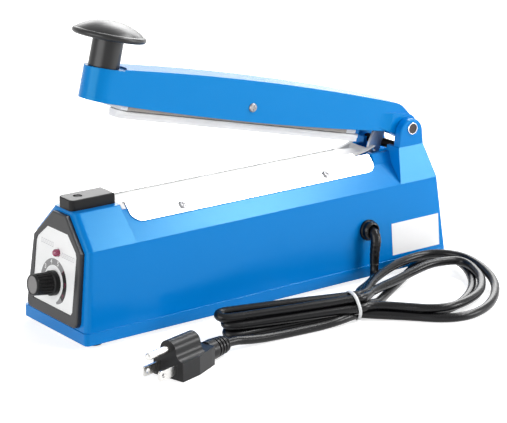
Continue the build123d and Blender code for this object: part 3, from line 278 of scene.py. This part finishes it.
class Finish:
    """A material, or the world's light, being mixed: its nodes, and the places that they read."""

    def __init__(self, name, kind=bpy.data.materials):
        self.made = kind.new(name)
        self.made.use_nodes = True
        self.tree = self.made.node_tree
        self.tree.nodes.clear()

    @cached_property
    def place(self):
        """The point that is being shaded, in the frame."""
        return self.add("ShaderNodeTexCoord", output="Object")

    def add(self, kind, settings=None, sockets=None, output=0):
        """One node: its settings first, then its sockets' values or links."""
        node = self.tree.nodes.new(kind)
        for name, value in (settings or {}).items():
            if name == "stops":
                for element, (position, level) in zip(node.color_ramp.elements, value):
                    element.position = position
                    element.color = (level, level, level, 1.0)
            else:
                setattr(node, name, value)
        for name, value in (sockets or {}).items():
            if isinstance(value, Amount):
                self.tree.links.new(value.socket, node.inputs[name])
            else:
                node.inputs[name].default_value = value
        return Amount(self, node.outputs[output]) if len(node.outputs) else None

    def noise(self, scale, detail=2.0, stretch=(1.0, 1.0, 1.0), roughness=0.5):
        """Cloudy values from 0 to 1; stretch multiplies the scale along x, y and z."""
        where = self.add("ShaderNodeMapping", sockets={"Vector": self.place, "Scale": stretch})
        return self.add("ShaderNodeTexNoise", sockets={
            "Vector": where, "Scale": scale, "Detail": detail, "Roughness": roughness})

    def bands(self, direction, spacing):
        """Soft stripes from 0 to 1, spacing apart along X, Y or Z."""
        return self.add(
            "ShaderNodeTexWave", {"wave_type": "BANDS", "bands_direction": direction},
            {"Vector": self.place, "Scale": math.pi / (10 * spacing)})

    def ramp(self, value, low, high):
        """Runs straight from one (value, result) stop to the other, and level beyond them."""
        return self.add("ShaderNodeValToRGB", {"stops": (low, high)}, {0: value})

    def blend(self, share, first, second):
        """Two colours mixed by share."""
        return self.add("ShaderNodeMix", {"data_type": "RGBA"}, {0: share, 6: first, 7: second}, 2)

    def along(self, origin, axis):
        """Distance of each place from origin along an axis."""
        offset = self.add("ShaderNodeVectorMath", {"operation": "SUBTRACT"}, {0: self.place, 1: origin})
        return self.add("ShaderNodeVectorMath", {"operation": "DOT_PRODUCT"}, {0: offset, 1: axis}, "Value")

    def softened(self, radius, height, strength, distance):
        """A normal with rounded edges and a bump on top of them."""
        edge = self.add("ShaderNodeBevel", {"samples": 4}, {"Radius": radius})
        return self.add("ShaderNodeBump", sockets={
            "Height": height, "Strength": strength, "Distance": distance, "Normal": edge})

    def surface(self, **sockets):
        """The finished surface; underscores in socket names stand for spaces."""
        named = {name.replace("_", " "): value for name, value in sockets.items()}
        shader = self.add("ShaderNodeBsdfPrincipled", sockets=named)
        self.add("ShaderNodeOutputMaterial", sockets={"Surface": shader})
        return self.made


# ---- colours -----------------------------------------------------------------------------------
WHITE = (1.0, 1.0, 1.0, 1.0)
COOL = (0.36, 1.0, 1.0, 1.0)  # keeps the highlights of the blue mouldings blue
CHROME_BRIGHT = (0.84, 0.84, 0.85, 1.0)
# Duller unplated steel, darkened as painted shade for the inside of the hinge pin's hollow end.
PIN_END_DULL_AND_SHADED = (0.050, 0.040, 0.038, 1.0)


def srgb(red, green, blue):
    """A colour as a paint chart gives it, 0 to 255."""
    def linear(level):
        level /= 255
        return level / 12.92 if level <= 0.04045 else ((level + 0.055) / 1.055) ** 2.4
    return (linear(red), linear(green), linear(blue), 1.0)


def toned(colour, factor, lift=0.0):
    """A darker or lighter tone of a colour."""
    return tuple(factor * channel + lift for channel in colour[:3]) + (1.0,)


# ---- finishes ----------------------------------------------------------------------------------
def moulded(name, colour, roughness, mottle=0.05, grain=1.0, edge=0.5 * MM, specular=0.5, tint=WHITE):
    """Injection-moulded plastic: nearly even colour, fine orange peel, faint handling marks."""
    finish = Finish(name)
    cloud = finish.noise(14, detail=3)
    peel = finish.noise(260)
    speck = finish.noise(1500, detail=1)
    handled = finish.noise(60, detail=4, stretch=(0.35, 1.0, 1.0), roughness=0.6)
    rubbed = finish.ramp(handled, (0.52, 0.0), (0.72, 1.0))
    return finish.surface(
        Base_Color=finish.blend(cloud * mottle * 4, colour, toned(colour, 0.86)),
        Roughness=roughness + (cloud - 0.5) * 0.06 + rubbed * 0.06,
        Specular_IOR_Level=specular,
        Specular_Tint=tint,
        Normal=finish.softened(edge, peel + speck * 0.25 * grain, 0.05 * grain, 0.25 * MM))


# How far the drawing lines of a steel are stretched along x, y and z.
ALONG_LENGTH = (0.02, 1.0, 1.0)
ALONG_HEIGHT = (1.0, 1.0, 0.05)
UNDRAWN = (1.0, 1.0, 1.0)


def rolled_steel(name, colour, roughness, streak=ALONG_LENGTH):
    """Bright sheet or bar with fine drawing lines and a few finger marks."""
    finish = Finish(name)
    lines = finish.noise(900, detail=3, stretch=streak, roughness=0.6)
    marks = finish.noise(35, detail=3)
    return finish.surface(
        Base_Color=finish.blend(lines * 0.5, colour, toned(colour, 0.8)),
        Metallic=1.0,
        Roughness=roughness + (lines - 0.5) * 0.12 + (marks - 0.5) * 0.10,
        Normal=finish.softened(0.15 * MM, lines, 0.06, 0.05 * MM))


def rubbery(name, colour, roughness, grain=1.0, specular=0.3):
    """Extruded or moulded rubber: satin, with a fine grain that catches dust."""
    finish = Finish(name)
    cloud = finish.noise(40, detail=3)
    grit = finish.noise(1800)
    return finish.surface(
        Base_Color=finish.blend(cloud * 0.5, colour, toned(colour, 1.4, lift=0.001)),
        Roughness=roughness + (cloud - 0.5) * 0.12 + (grit - 0.5) * 0.05,
        Specular_IOR_Level=specular,
        Normal=finish.softened(0.3 * MM, grit, 0.10 * grain, 0.08 * MM))


def woven(name, colour, spacing, roughness):
    """Coated glass cloth: threads crossing at right angles, a little browned in places."""
    finish = Finish(name)
    threads = finish.bands("X", spacing) * finish.bands("Y", spacing)
    stain = finish.noise(30, detail=4, stretch=(0.3, 1.0, 1.0))
    tanned = (colour[0] * 0.93, colour[1] * 0.90, colour[2] * 0.84, 1.0)
    return finish.surface(
        Base_Color=finish.blend(stain * 0.35, colour, tanned),
        Roughness=roughness + (threads - 0.5) * 0.10,
        Normal=finish.add(
            "ShaderNodeBump", sockets={"Height": threads, "Strength": 0.25, "Distance": 0.1 * MM}))


def printed(name, colour, roughness=0.45):
    """Flat ink or film with a little unevenness in its lay."""
    finish = Finish(name)
    patchy = finish.noise(420, detail=3)
    return finish.surface(
        Base_Color=finish.blend(patchy * 0.4, colour, toned(colour, 0.9, lift=0.02)),
        Roughness=roughness + (patchy - 0.5) * 0.1)


def lamp_lens():
    """Tinted lens of the indicator lamp, darker in swirls."""
    finish = Finish("lamp_lens")
    swirl = finish.noise(700)
    return finish.surface(
        Base_Color=finish.blend(swirl * 0.6, srgb(176, 16, 92), srgb(92, 8, 52)),
        Roughness=0.12 + swirl * 0.05,
        Coat_Weight=1.0,
        Coat_Roughness=0.05,
        Subsurface_Weight=0.3,
        Subsurface_Scale=1.0 * MM)


def knob_finish():
    """Black ribbed knob with a grey printed disc on its tip."""
    finish = Finish("knob_two_tone")
    grit = finish.noise(900)
    centre = on_panel(0, KNOB_UP, 0)
    out = finish.along(centre, PANEL_OUT)
    right = finish.along(centre, PANEL_RIGHT)
    up = finish.along(centre, PANEL_UP)
    disc = (out > KNOB_TIP - DISC_DEPTH) * (right * right + up * up < KNOB_DISC ** 2)
    return finish.surface(
        Base_Color=finish.blend(disc, srgb(18, 18, 19), srgb(132, 130, 130)),
        Roughness=0.36 + (grit - 0.5) * 0.08,
        Specular_IOR_Level=0.25,
        Normal=finish.softened(0.25 * MM, grit, 0.08, 0.1 * MM))


def pin_finish():
    """Hinge pin: bright rolled rim round a duller, unplated end, darkened with painted shade that stands for
    the inside of the hollow pin.
    """
    finish = Finish("hinge_pin_painted_shade_end")
    grit = finish.noise(700)
    back = finish.along(HINGE, Vector((1, 0, 0)))
    up = finish.along(HINGE, Vector((0, 0, 1)))
    core = back * back + up * up < PIN_CORE ** 2
    return finish.surface(
        # Inside the rim the colour is painted shade of the pin's hollow end, on duller steel.
        Base_Color=finish.blend(core, CHROME_BRIGHT, PIN_END_DULL_AND_SHADED),
        Metallic=1.0 - core * 0.4,
        Roughness=0.12 + core * 0.35 + (grit - 0.5) * 0.08,
        Normal=finish.softened(0.1 * MM, grit, 0.08, 0.05 * MM))


HOUSING_BLUE = moulded("housing_blue", srgb(0, 126, 211), 0.19, specular=0.3, tint=COOL)
ARM_BLUE = moulded("arm_blue", srgb(0, 131, 212), 0.22, specular=0.3, tint=COOL)
BEZEL_BLACK = moulded("bezel_black", srgb(36, 36, 38), 0.40, mottle=0.1, edge=0.3 * MM)
BLACK_SATIN = moulded(
    "black_satin", srgb(10, 10, 12), 0.34, mottle=0.1, grain=0.6, edge=0.3 * MM, specular=0.22)
HANDLE_BLACK = moulded("handle_black", srgb(8, 8, 10), 0.33, mottle=0.1, grain=0.6, specular=0.45)
BLACK_POLISHED = moulded("black_polished", srgb(8, 8, 10), 0.22, mottle=0.1, grain=0.5, specular=0.28)
WHITE_MOULDED = moulded("white_moulded", srgb(236, 237, 238), 0.42, mottle=0.03, edge=0.2 * MM)
BOARD = moulded("lacquered_board", srgb(30, 92, 52), 0.35)
SILICONE = rubbery("silicone_white", srgb(236, 236, 236), 0.5, grain=0.6)
# Black rubber of the feet and the spring rest. On the switch plunger it is painted shade of the hole above
# it.
BLACK_RUBBER_AND_HOLE_SHADE = rubbery("black_rubber_and_hole_shade", srgb(18, 18, 19), 0.60, specular=0.15)
CORD_SHEATH = rubbery("cord_sheath", srgb(11, 11, 13), 0.27, grain=0.5, specular=0.26)
PLUG_RUBBER = rubbery("plug_rubber", srgb(16, 16, 18), 0.34, specular=0.25)
BRIGHT_SHEET = rolled_steel("bright_sheet", (0.74, 0.74, 0.75, 1.0), 0.22)
ZINC_STEEL = rolled_steel("zinc_steel", (0.50, 0.51, 0.52, 1.0), 0.38)
# The strip channel's dark colour is painted shade: it stands for the shadow under the arm.
CHANNEL_STEEL_PAINTED_SHADE = rolled_steel("channel_steel_painted_shade", (0.20, 0.19, 0.18, 1.0), 0.42)
SCREW_STEEL = rolled_steel("screw_steel", (0.30, 0.30, 0.31, 1.0), 0.36, UNDRAWN)
LEVER_STEEL = rolled_steel("lever_steel", (0.62, 0.63, 0.64, 1.0), 0.34, ALONG_HEIGHT)
CHROME = rolled_steel("chrome_plate", CHROME_BRIGHT, 0.10, UNDRAWN)
NICKEL = rolled_steel("nickel_blade", (0.72, 0.71, 0.69, 1.0), 0.24, streak=(0.05, 1.0, 1.0))
BRASS = rolled_steel("bare_brass", (0.75, 0.56, 0.26, 1.0), 0.32, streak=(1.0, 1.0, 0.1))
SPRING_BLACK = rolled_steel("black_oxide", (0.06, 0.06, 0.065, 1.0), 0.35, UNDRAWN)
CORE = rolled_steel("laminated_core", (0.22, 0.22, 0.23, 1.0), 0.5, UNDRAWN)
WINDING = rolled_steel("copper_winding", (0.62, 0.30, 0.16, 1.0), 0.35, ALONG_HEIGHT)
RELEASE_WEAVE = woven("release_weave", srgb(234, 234, 233), 2.199 * MM, 0.45)
TAPE_WEAVE = woven("tape_weave", srgb(176, 128, 70), 3.142 * MM, 0.5)
LABEL_FILM = printed("label_film", srgb(250, 251, 251), 0.40)
STICKER_FILM = printed("sticker_film", srgb(252, 252, 253), 0.50)
INK_GREY = printed("ink_grey", srgb(138, 138, 139))
INK_BLACK = printed("ink_black", srgb(24, 22, 24))
INK_WHITE = printed("ink_white", srgb(242, 242, 242))
INK_RED = printed("ink_red", srgb(120, 26, 66))
INK_PALE = printed("ink_pale", srgb(188, 188, 192))

CARRIED_OVER = {
    "base_shell": HOUSING_BLUE,
    "arm_shell": ARM_BLUE,
    "bottom_plate": ZINC_STEEL,
    "rubber_feet": BLACK_RUBBER_AND_HOLE_SHADE,
    "foot_screws": ZINC_STEEL,
    "control_bezel": BEZEL_BLACK,
    "label_plate": LABEL_FILM,
    "indicator_lamp": lamp_lens(),
    "timer_knob": knob_finish(),
    "timer_shaft": ZINC_STEEL,
    "timer_potentiometer": ZINC_STEEL,
    "timer_board": BOARD,
    "transformer_core": CORE,
    "transformer_winding": WINDING,
    "microswitch": BLACK_SATIN,
    # The plunger is black as painted shade: it stands for the dark inside the switch cover's hole.
    "switch_plunger": BLACK_RUBBER_AND_HOLE_SHADE,
    "spring_rest": BLACK_RUBBER_AND_HOLE_SHADE,
    "switch_cover": BLACK_SATIN,
    "insulation_tape": TAPE_WEAVE,
    "heating_band": NICKEL,
    "band_terminals": BRASS,
    "clamp_plate_near": BRIGHT_SHEET,
    "clamp_plate_far": BRIGHT_SHEET,
    "clamp_screws": SCREW_STEEL,
    "hinge_pin": pin_finish(),
    "cable_gland": BLACK_POLISHED,
    "rating_sticker": STICKER_FILM,
    "strip_channel": CHANNEL_STEEL_PAINTED_SHADE,
    "silicone_strip": SILICONE,
    "strip_end_block": WHITE_MOULDED,
    "arm_screws": SCREW_STEEL,
    "press_handle": HANDLE_BLACK,
    "handle_bolt": ZINC_STEEL,
    "strike_pin": CHROME,
    "lift_lever": LEVER_STEEL,
    "plug_body": PLUG_RUBBER,
    "plug_relief": PLUG_RUBBER,
    "plug_blades": NICKEL,
    "plug_ground_pin": NICKEL,
}
for node, finish in CARRIED_OVER.items():
    for material_slot in frame["nodes"][node].material_slots:
        material_slot.material = finish


# ---- making pieces -----------------------------------------------------------------------------
def piece(name, shape, finish):
    """A new piece from a mesh or curve.  All of them stay with the base."""
    made = bpy.data.objects.new(name, shape)
    bpy.context.scene.collection.objects.link(made)
    made.data.materials.append(finish)
    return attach(made, "base")


def mesh_from(name, points, faces, smooth=True):
    """A mesh from its points and faces."""
    mesh = bpy.data.meshes.new(name)
    mesh.from_pydata([tuple(point) for point in points], [], faces)
    mesh.update()
    for face in mesh.polygons:
        face.use_smooth = smooth
    return mesh


def wire(name, points, radius, kind="NURBS"):
    """A round wire or cord along points."""
    curve = bpy.data.curves.new(name, "CURVE")
    curve.dimensions = "3D"
    curve.bevel_depth = radius
    curve.bevel_resolution = 5
    curve.use_fill_caps = True
    spline = curve.splines.new(kind)
    spline.points.add(len(points) - 1)
    for control, point in zip(spline.points, points):
        control.co = (*point, 1.0)
    if kind == "NURBS":
        spline.order_u = 3
        spline.use_endpoint_u = True
        spline.resolution_u = 8
    return curve


def centreline(curve):
    """Points along a curve's own line, read from the curve without its bevel."""
    bare = curve.copy()
    bare.bevel_depth = 0
    holder = bpy.data.objects.new("centreline", bare)
    line = bpy.data.meshes.new_from_object(holder)
    points = [vertex.co.copy() for vertex in line.vertices]
    bpy.data.objects.remove(holder)
    bpy.data.curves.remove(bare)
    bpy.data.meshes.remove(line)
    return points


def tapered_tube(name, line, radii, sides=24):
    """A tube along a line of points with a radius at each, closed at both ends."""
    points = []
    for i, here in enumerate(line):
        heading = (line[min(i + 1, len(line) - 1)] - line[max(i - 1, 0)]).normalized()
        side = heading.cross(Vector((1, 0, 0))).normalized()
        up = heading.cross(side)
        for s in range(sides):
            turn = 2 * math.pi * s / sides
            points.append(here + (side * math.cos(turn) + up * math.sin(turn)) * radii[i])
    faces = []
    for i in range(len(line) - 1):
        for s in range(sides):
            a, b = i * sides + s, i * sides + (s + 1) % sides
            faces.append((a, b, b + sides, a + sides))
    last = (len(line) - 1) * sides
    faces.append(tuple(range(sides)))
    faces.append(tuple(reversed(range(last, last + sides))))
    return mesh_from(name, points, faces)


# ---- mains cord --------------------------------------------------------------------------------
def strand(name, beyond=0.0):
    """Where a strand passes through the tie, or some way beyond it along the bundle."""
    across, up = STRANDS[name]
    return WAIST + BUNDLE_ACROSS * (across * STRAND_SPACING) + BUNDLE_ALONG * beyond + Vector((0, 0, up))


def folded(leaving, returning, reach, near_z, far_z, first_side, shift):
    """One tight fold: out from one strand, round the tip and back as far as the tie.

    Its near run lies at near_z and its far one at far_z; first_side is 1 where the cord goes out on
    the far side and -1 on the near one, and shift moves the tip across."""
    first_z, last_z = (far_z, near_z) if first_side > 0 else (near_z, far_z)

    def run(name, side, height, share):
        settled = share ** FOLD_SPREAD
        across = (1 - settled) * STRANDS[name][0] * STRAND_SPACING + settled * side * FOLD_RADIUS
        place = WAIST + FOLD_ALONG * (reach * share) + FOLD_ACROSS * (across + shift * share)
        sink = min(1.0, FOLD_SINK * share)
        place.z = (1 - sink) * strand(name).z + sink * height
        return place

    points = [strand(leaving), strand(leaving, -STRAIGHT)]
    points += [run(leaving, first_side, first_z, share) for share in FOLD_SHARES]
    for step in range(TIP_STEPS + 1):
        turn = math.pi * step / TIP_STEPS
        swing = math.cos(turn)
        place = WAIST + FOLD_ALONG * (reach - TIP_SETBACK + TIP_OUT * FOLD_RADIUS * math.sin(turn))
        place += FOLD_ACROSS * (TIP_ASIDE * first_side * FOLD_RADIUS * swing + shift)
        place.z = first_z + (last_z - first_z) * (1 - swing) / 2
        points.append(place)
    points += [run(returning, -first_side, last_z, share) for share in reversed(FOLD_SHARES)]
    points.append(strand(returning, -STRAIGHT))
    return points


def eased(before, start, end, after, t):
    """A place between start and end, on a smooth curve that their neighbours steer."""
    return 0.5 * (
        2 * start + (end - before) * t + (2 * before - 5 * start + 4 * end - after) * t ** 2
        + (3 * start - before - 3 * end + after) * t ** 3)


def looped(leaving, returning, places):
    """One wide loop: a smooth walk through its places and back as far as the tie, with evenly
    shared points."""
    knots = [strand(leaving, STRAIGHT)] + [WAIST + Vector((x, y, z - WAIST.z)) for x, y, z in places]
    knots.append(strand(returning, STRAIGHT))
    spans = len(knots) - 1
    points = [strand(leaving)]
    for step in range(POINTS_PER_LOOP + 1):
        at = spans * step / POINTS_PER_LOOP
        here = min(int(at), spans - 1)
        before, after = knots[max(here - 1, 0)], knots[min(here + 2, spans)]
        points.append(eased(before, knots[here], knots[here + 1], after, at - here))
    return points


route = [Vector(point) for point in LEAD]
route += folded("mid_far", "low_far", reach=90.5, near_z=3.1, far_z=4.6, first_side=1, shift=-6.5)
route += looped("low_far", "mid", INNER_LOOP)
route += folded("mid", "mid_near", reach=91.0, near_z=9.0, far_z=10.4, first_side=1, shift=-5)
route += looped("mid_near", "top_near", MIDDLE_LOOP)
route += folded("top_near", "top_far", reach=95.0, near_z=14.4, far_z=15.8, first_side=-1, shift=-3.5)
route += looped("top_far", "low_near", WIDEST_LOOP)
route.append(strand("low_near"))
route += [Vector(point) for point in TAIL]

cord_line = wire("mains_cord", [point * MM for point in route], CORD_DIAMETER / 2)
mains_cord = piece("mains_cord", cord_line, CORD_SHEATH)
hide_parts("power_cord_lead", "cord_hank", "power_cord_tail")

cord_points = centreline(cord_line)


def gland_relief_mesh():
    """The tapered relief that the gland grips, over the cord's first stretch, ribbed at first."""
    line, radii, walked = [], [], 0.0
    for before, here in zip(cord_points, cord_points[1:]):
        walked += (here - before).length
        share = (walked - RELIEF_START) / RELIEF_LENGTH
        if 0 <= share <= 1:
            rib = RELIEF_RIB * math.cos(walked / RELIEF_PITCH * 2 * math.pi) if share < RIBBED_SHARE else 0.0
            line.append(here)
            radii.append(CORD_DIAMETER / 2 + RELIEF_SKIN + (1 - share) * RELIEF_TAPER + rib)
    return tapered_tube("gland_relief", line, radii)


gland_relief = piece("gland_relief", gland_relief_mesh(), CORD_SHEATH)


def tie_band():
    """A flat white band wound once round the strands, following their six-sided pack softly, its
    plane leaning back a little."""
    facing = Vector(TIE_FACING).normalized()
    across = Vector((0, 0, 1)).cross(facing).normalized()
    upward = facing.cross(across)
    half = TIE_WIDTH / 2
    profile = [
        (-half, 0), (-half * 0.8, TIE_THICKNESS), (half * 0.8, TIE_THICKNESS), (half, 0),
        (half * 0.7, -TIE_BULGE), (-half * 0.7, -TIE_BULGE)]
    corners = len(profile)
    points, faces = [], []
    for i in range(TIE_STEPS):
        turn = 2 * math.pi * i / TIE_STEPS
        radius = TIE_RADIUS + TIE_SWELL * math.cos(6 * turn)
        outward = across * math.cos(turn) + upward * math.sin(turn)
        for aside, out in profile:
            points.append(WAIST * MM + outward * (radius + out) + facing * aside)
        this, following = i * corners, (i + 1) % TIE_STEPS * corners
        for k in range(corners):
            beside = (k + 1) % corners
            faces.append((this + k, this + beside, following + beside, following + k))
    return mesh_from("tie_band", points, faces)


tie = piece("tie_band", tie_band(), WHITE_MOULDED)
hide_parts("cord_tie")


# ---- return spring -----------------------------------------------------------------------------
def spring_line():
    """Coils on the hinge pin between two straight legs."""
    half = (SPRING_TURNS - 1) * SPRING_WIRE
    points = [Vector((x, -half, z)) for x, z in SPRING_UPPER_LEG]
    steps = STEPS_PER_COIL * SPRING_TURNS + STEPS_PER_COIL // 2
    for step in range(steps + 1):
        turn = math.pi / 2 - 2 * math.pi * step / STEPS_PER_COIL
        side = -half + 2 * half * step / steps
        points.append(Vector((SPRING_COIL * math.cos(turn), side, SPRING_COIL * math.sin(turn))))
    points += [Vector((x, half, z)) for x, z in SPRING_LOWER_LEG]
    return [HINGE + point for point in points]


spring_wire = wire("return_spring_wire", spring_line(), SPRING_WIRE, kind="POLY")
spring = piece("return_spring_wire", spring_wire, SPRING_BLACK)
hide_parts("return_spring")


# ---- release cloth -----------------------------------------------------------------------------
def height_along(line, x):
    """Height of a line of (x, z) points at a station."""
    for (x0, z0), (x1, z1) in zip(line, line[1:]):
        if x <= x1:
            return z0 + (z1 - z0) * (x - x0) / (x1 - x0)
    return line[-1][1]


def release_cloth():
    """The white cloth: flat over the table, its front corners folded down over the bevels, its loose
    rear end riding up the neck, the edges sooner and further than the middle."""
    last = len(CLOTH_COLUMNS) - 1
    reach = last + TUCK_COLUMNS
    middle_end = MIDDLE_RISE[-1][0]
    ease_start, ease_end = EDGE_EASE
    points, faces, index = [], [], {}
    for i in range(CLOTH_STATIONS + 1):
        x = CLOTH_START + (CLOTH_END - CLOTH_START) * i / CLOTH_STATIONS
        middle, rim = height_along(MIDDLE_RISE, x), height_along(EDGE_RISE, x)
        for j in range(-reach, reach + 1):
            flat = CLOTH_COLUMNS[min(abs(j), last)]
            over = max(0, abs(j) - last) / TUCK_COLUMNS * TUCK_DROP
            if over > 0 and x > TUCK_END or flat < EDGE_FLAP and x > middle_end:
                continue
            share = min(1.0, max(0.0, (flat - ease_start) / (ease_end - ease_start)))
            z = middle + (rim - middle) * share if x < middle_end else rim
            ripple = math.sin(x / RIPPLE_ALONG) * math.sin(flat / RIPPLE_ACROSS + x / RIPPLE_SKEW)
            z += CLOTH_LIFT + CLOTH_RIPPLE * ripple
            side = 1 if j > 0 else -1
            y = side * (flat + over * math.cos(BEVEL_SLOPE))
            index[i, j] = len(points)
            points.append(bench(x * MM, y * MM, (z - over * math.sin(BEVEL_SLOPE)) * MM))
    for i in range(CLOTH_STATIONS):
        for j in range(-reach, reach):
            corners = [(i, j), (i + 1, j), (i + 1, j + 1), (i, j + 1)]
            if all(corner in index for corner in corners):
                faces.append(tuple(index[corner] for corner in corners))
    return mesh_from("release_sheet", points, faces)


cloth = piece("release_sheet", release_cloth(), RELEASE_WEAVE)
thickness = cloth.modifiers.new("thickness", "SOLIDIFY")
thickness.thickness = CLOTH_THICKNESS * MM
thickness.offset = 0
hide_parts("release_cloth")


# ---- print on the control panel ----------------------------------------------------------------
def on_dial(radius, turn, layers):
    """A point of the dial: out from its middle, turned anticlockwise from the right, and so many
    layers of ink above the label."""
    return on_panel(
        DIAL_ASIDE + radius * math.cos(turn), KNOB_UP + radius * math.sin(turn), LABEL_FACE + layers * INK)


def dial_arc(name, start, end, end_width=1.0):
    """A flat printed arc of the dial, clockwise from start to end in degrees, that narrows evenly
    to end_width of the full width."""
    points, faces = [], []
    steps = int((start - end) / ARC_STEP)
    for i in range(steps + 1):
        share = i / steps
        turn = math.radians(start + (end - start) * share)
        width = (DIAL_OUTER - DIAL_INNER) * (1 + (end_width - 1) * share)
        points += [on_dial(DIAL_MIDDLE + side * width / 2, turn, 1) for side in (-1, 1)]
    for a in range(0, 2 * steps, 2):
        faces.append((a, a + 1, a + 3, a + 2))
    return mesh_from(name, points, faces, smooth=False)


def numeral(text, middle):
    """A printed number standing upright on the panel round a middle point."""
    words = bpy.data.curves.new("numeral_" + text, "FONT")
    words.body = text
    words.size = NUMERAL_SIZE
    words.align_x = "CENTER"
    words.align_y = "CENTER"
    words.offset = NUMERAL_WEIGHT
    holder = bpy.data.objects.new("numeral_" + text, words)
    mesh = bpy.data.meshes.new_from_object(holder)
    bpy.data.objects.remove(holder)
    for vertex in mesh.vertices:
        vertex.co = middle + PANEL_RIGHT * vertex.co.x + PANEL_UP * vertex.co.y
    return mesh


def open_boxes(name, right, up):
    """A row of small outlined boxes printed on the panel, in the place of words."""
    points, faces = [], []
    for i in range(MARKS_PER_ROW):
        for inset in (0, MARK_LINE):
            left_edge, right_edge = inset, MARK_WIDTH - inset
            low_edge, high_edge = inset, MARK_HEIGHT - inset
            for a, b in ((left_edge, low_edge), (right_edge, low_edge),
                         (right_edge, high_edge), (left_edge, high_edge)):
                points.append(on_panel(right + MARK_PITCH * i + a, up + b, LABEL_FACE + INK))
        for k in range(4):
            first, following = 8 * i + k, 8 * i + (k + 1) % 4
            faces.append((first, following, following + 4, first + 4))
    return mesh_from(name, points, faces, smooth=False)


piece("dial_grey", dial_arc("dial_grey", GREY_FROM, BLACK_FROM), INK_GREY)
piece("dial_black", dial_arc("dial_black", BLACK_FROM, TIP_FROM), INK_BLACK)
piece("dial_tip", dial_arc("dial_tip", TIP_FROM, TIP_TO, TIP_END_WIDTH), INK_GREY)
for number in range(1, NUMERALS + 1):
    turn = math.radians(NUMERAL_FIRST - NUMERAL_SPACING * (number - 1))
    ink = INK_RED if number >= NUMERAL_RED_FROM else INK_WHITE
    piece(f"dial_number_{number}", numeral(str(number), on_dial(DIAL_MIDDLE, turn, 2)), ink)
for name, (right, up) in PANEL_MARKS.items():
    piece(name, open_boxes(name, right, up), INK_PALE)


# ---- studio ------------------------------------------------------------------------------------
def camera():
    """The camera, level, looking at its target."""
    flat = math.cos(CAMERA_ELEVATION)
    back = Vector((
        math.sin(CAMERA_AZIMUTH) * flat, -math.cos(CAMERA_AZIMUTH) * flat, math.sin(CAMERA_ELEVATION)))
    right = Vector((math.cos(CAMERA_AZIMUTH), math.sin(CAMERA_AZIMUTH), 0))
    lens = bpy.data.cameras.new("camera")
    lens.lens = CAMERA_LENS
    lens.sensor_width = CAMERA_SENSOR
    made = bpy.data.objects.new("camera", lens)
    turn = Matrix((right, back.cross(right), back)).transposed()
    made.matrix_world = Matrix.Translation(CAMERA_TARGET + back * CAMERA_DISTANCE) @ turn.to_4x4()
    bpy.context.scene.collection.objects.link(made)
    bpy.context.scene.camera = made


def softbox(name, towards, distance, size, watts):
    """A soft lamp in a given direction from the sealer, facing it."""
    lamp = bpy.data.lights.new(name, "AREA")
    lamp.shape = "RECTANGLE"
    lamp.size, lamp.size_y = size
    lamp.energy = watts
    made = bpy.data.objects.new(name, lamp)
    made.location = LAMP_AIM + Vector(towards).normalized() * distance
    made.rotation_euler = (LAMP_AIM - made.location).to_track_quat("-Z", "Y").to_euler()
    bpy.context.scene.collection.objects.link(made)


def seen_directly(finish):
    """1 for rays that show the background itself: to the lens, in a mirror or through glass."""
    seen = finish.add("ShaderNodeLightPath", output="Is Camera Ray")
    mirrored = finish.add("ShaderNodeLightPath", output="Is Glossy Ray")
    through = finish.add("ShaderNodeLightPath", output="Is Transmission Ray")
    return finish.add("ShaderNodeMath", {"operation": "MAXIMUM"}, {0: seen, 1: mirrored + through})


def sky():
    """White where it is seen, and softer where it lights the sealer."""
    finish = Finish("studio", bpy.data.worlds)
    level = AMBIENT + seen_directly(finish) * (1 - AMBIENT)
    background = finish.add("ShaderNodeBackground", sockets={"Color": WHITE, "Strength": level})
    finish.add("ShaderNodeOutputWorld", sockets={"Surface": background})
    bpy.context.scene.world = finish.made


def pale_floor():
    """Pale floor under the sealer: it shows white to the lens, yet keeps soft shadows."""
    finish = Finish("studio_floor")
    middle = Vector((0, 0, 0))
    across, back = finish.along(middle, Vector((1, 0, 0))), finish.along(middle, Vector((0, 1, 0)))
    away = (across * across + back * back) * (1 / FLOOR_FAR ** 2)
    paint = finish.surface(
        Base_Color=finish.blend(finish.noise(3), srgb(226, 226, 226), srgb(230, 230, 230)),
        Roughness=0.9,
        Specular_IOR_Level=0.1,
        Emission_Color=finish.ramp(away, ((FLOOR_NEAR / FLOOR_FAR) ** 2, FLOOR_LIFT), (1.0, 1.0)),
        Emission_Strength=seen_directly(finish))
    corners = [
        (-FLOOR_HALF, -FLOOR_HALF, 0), (FLOOR_HALF, -FLOOR_HALF, 0), (FLOOR_HALF, FLOOR_HALF, 0),
        (-FLOOR_HALF, FLOOR_HALF, 0)]
    floor = bpy.data.objects.new("studio_floor", mesh_from("studio_floor", corners, [(0, 1, 2, 3)]))
    floor.data.materials.append(paint)
    bpy.context.scene.collection.objects.link(floor)


camera()
sky()
pale_floor()
for lamp in SOFTBOXES:
    softbox(*lamp)
bpy.context.scene.view_settings.view_transform = "Standard"
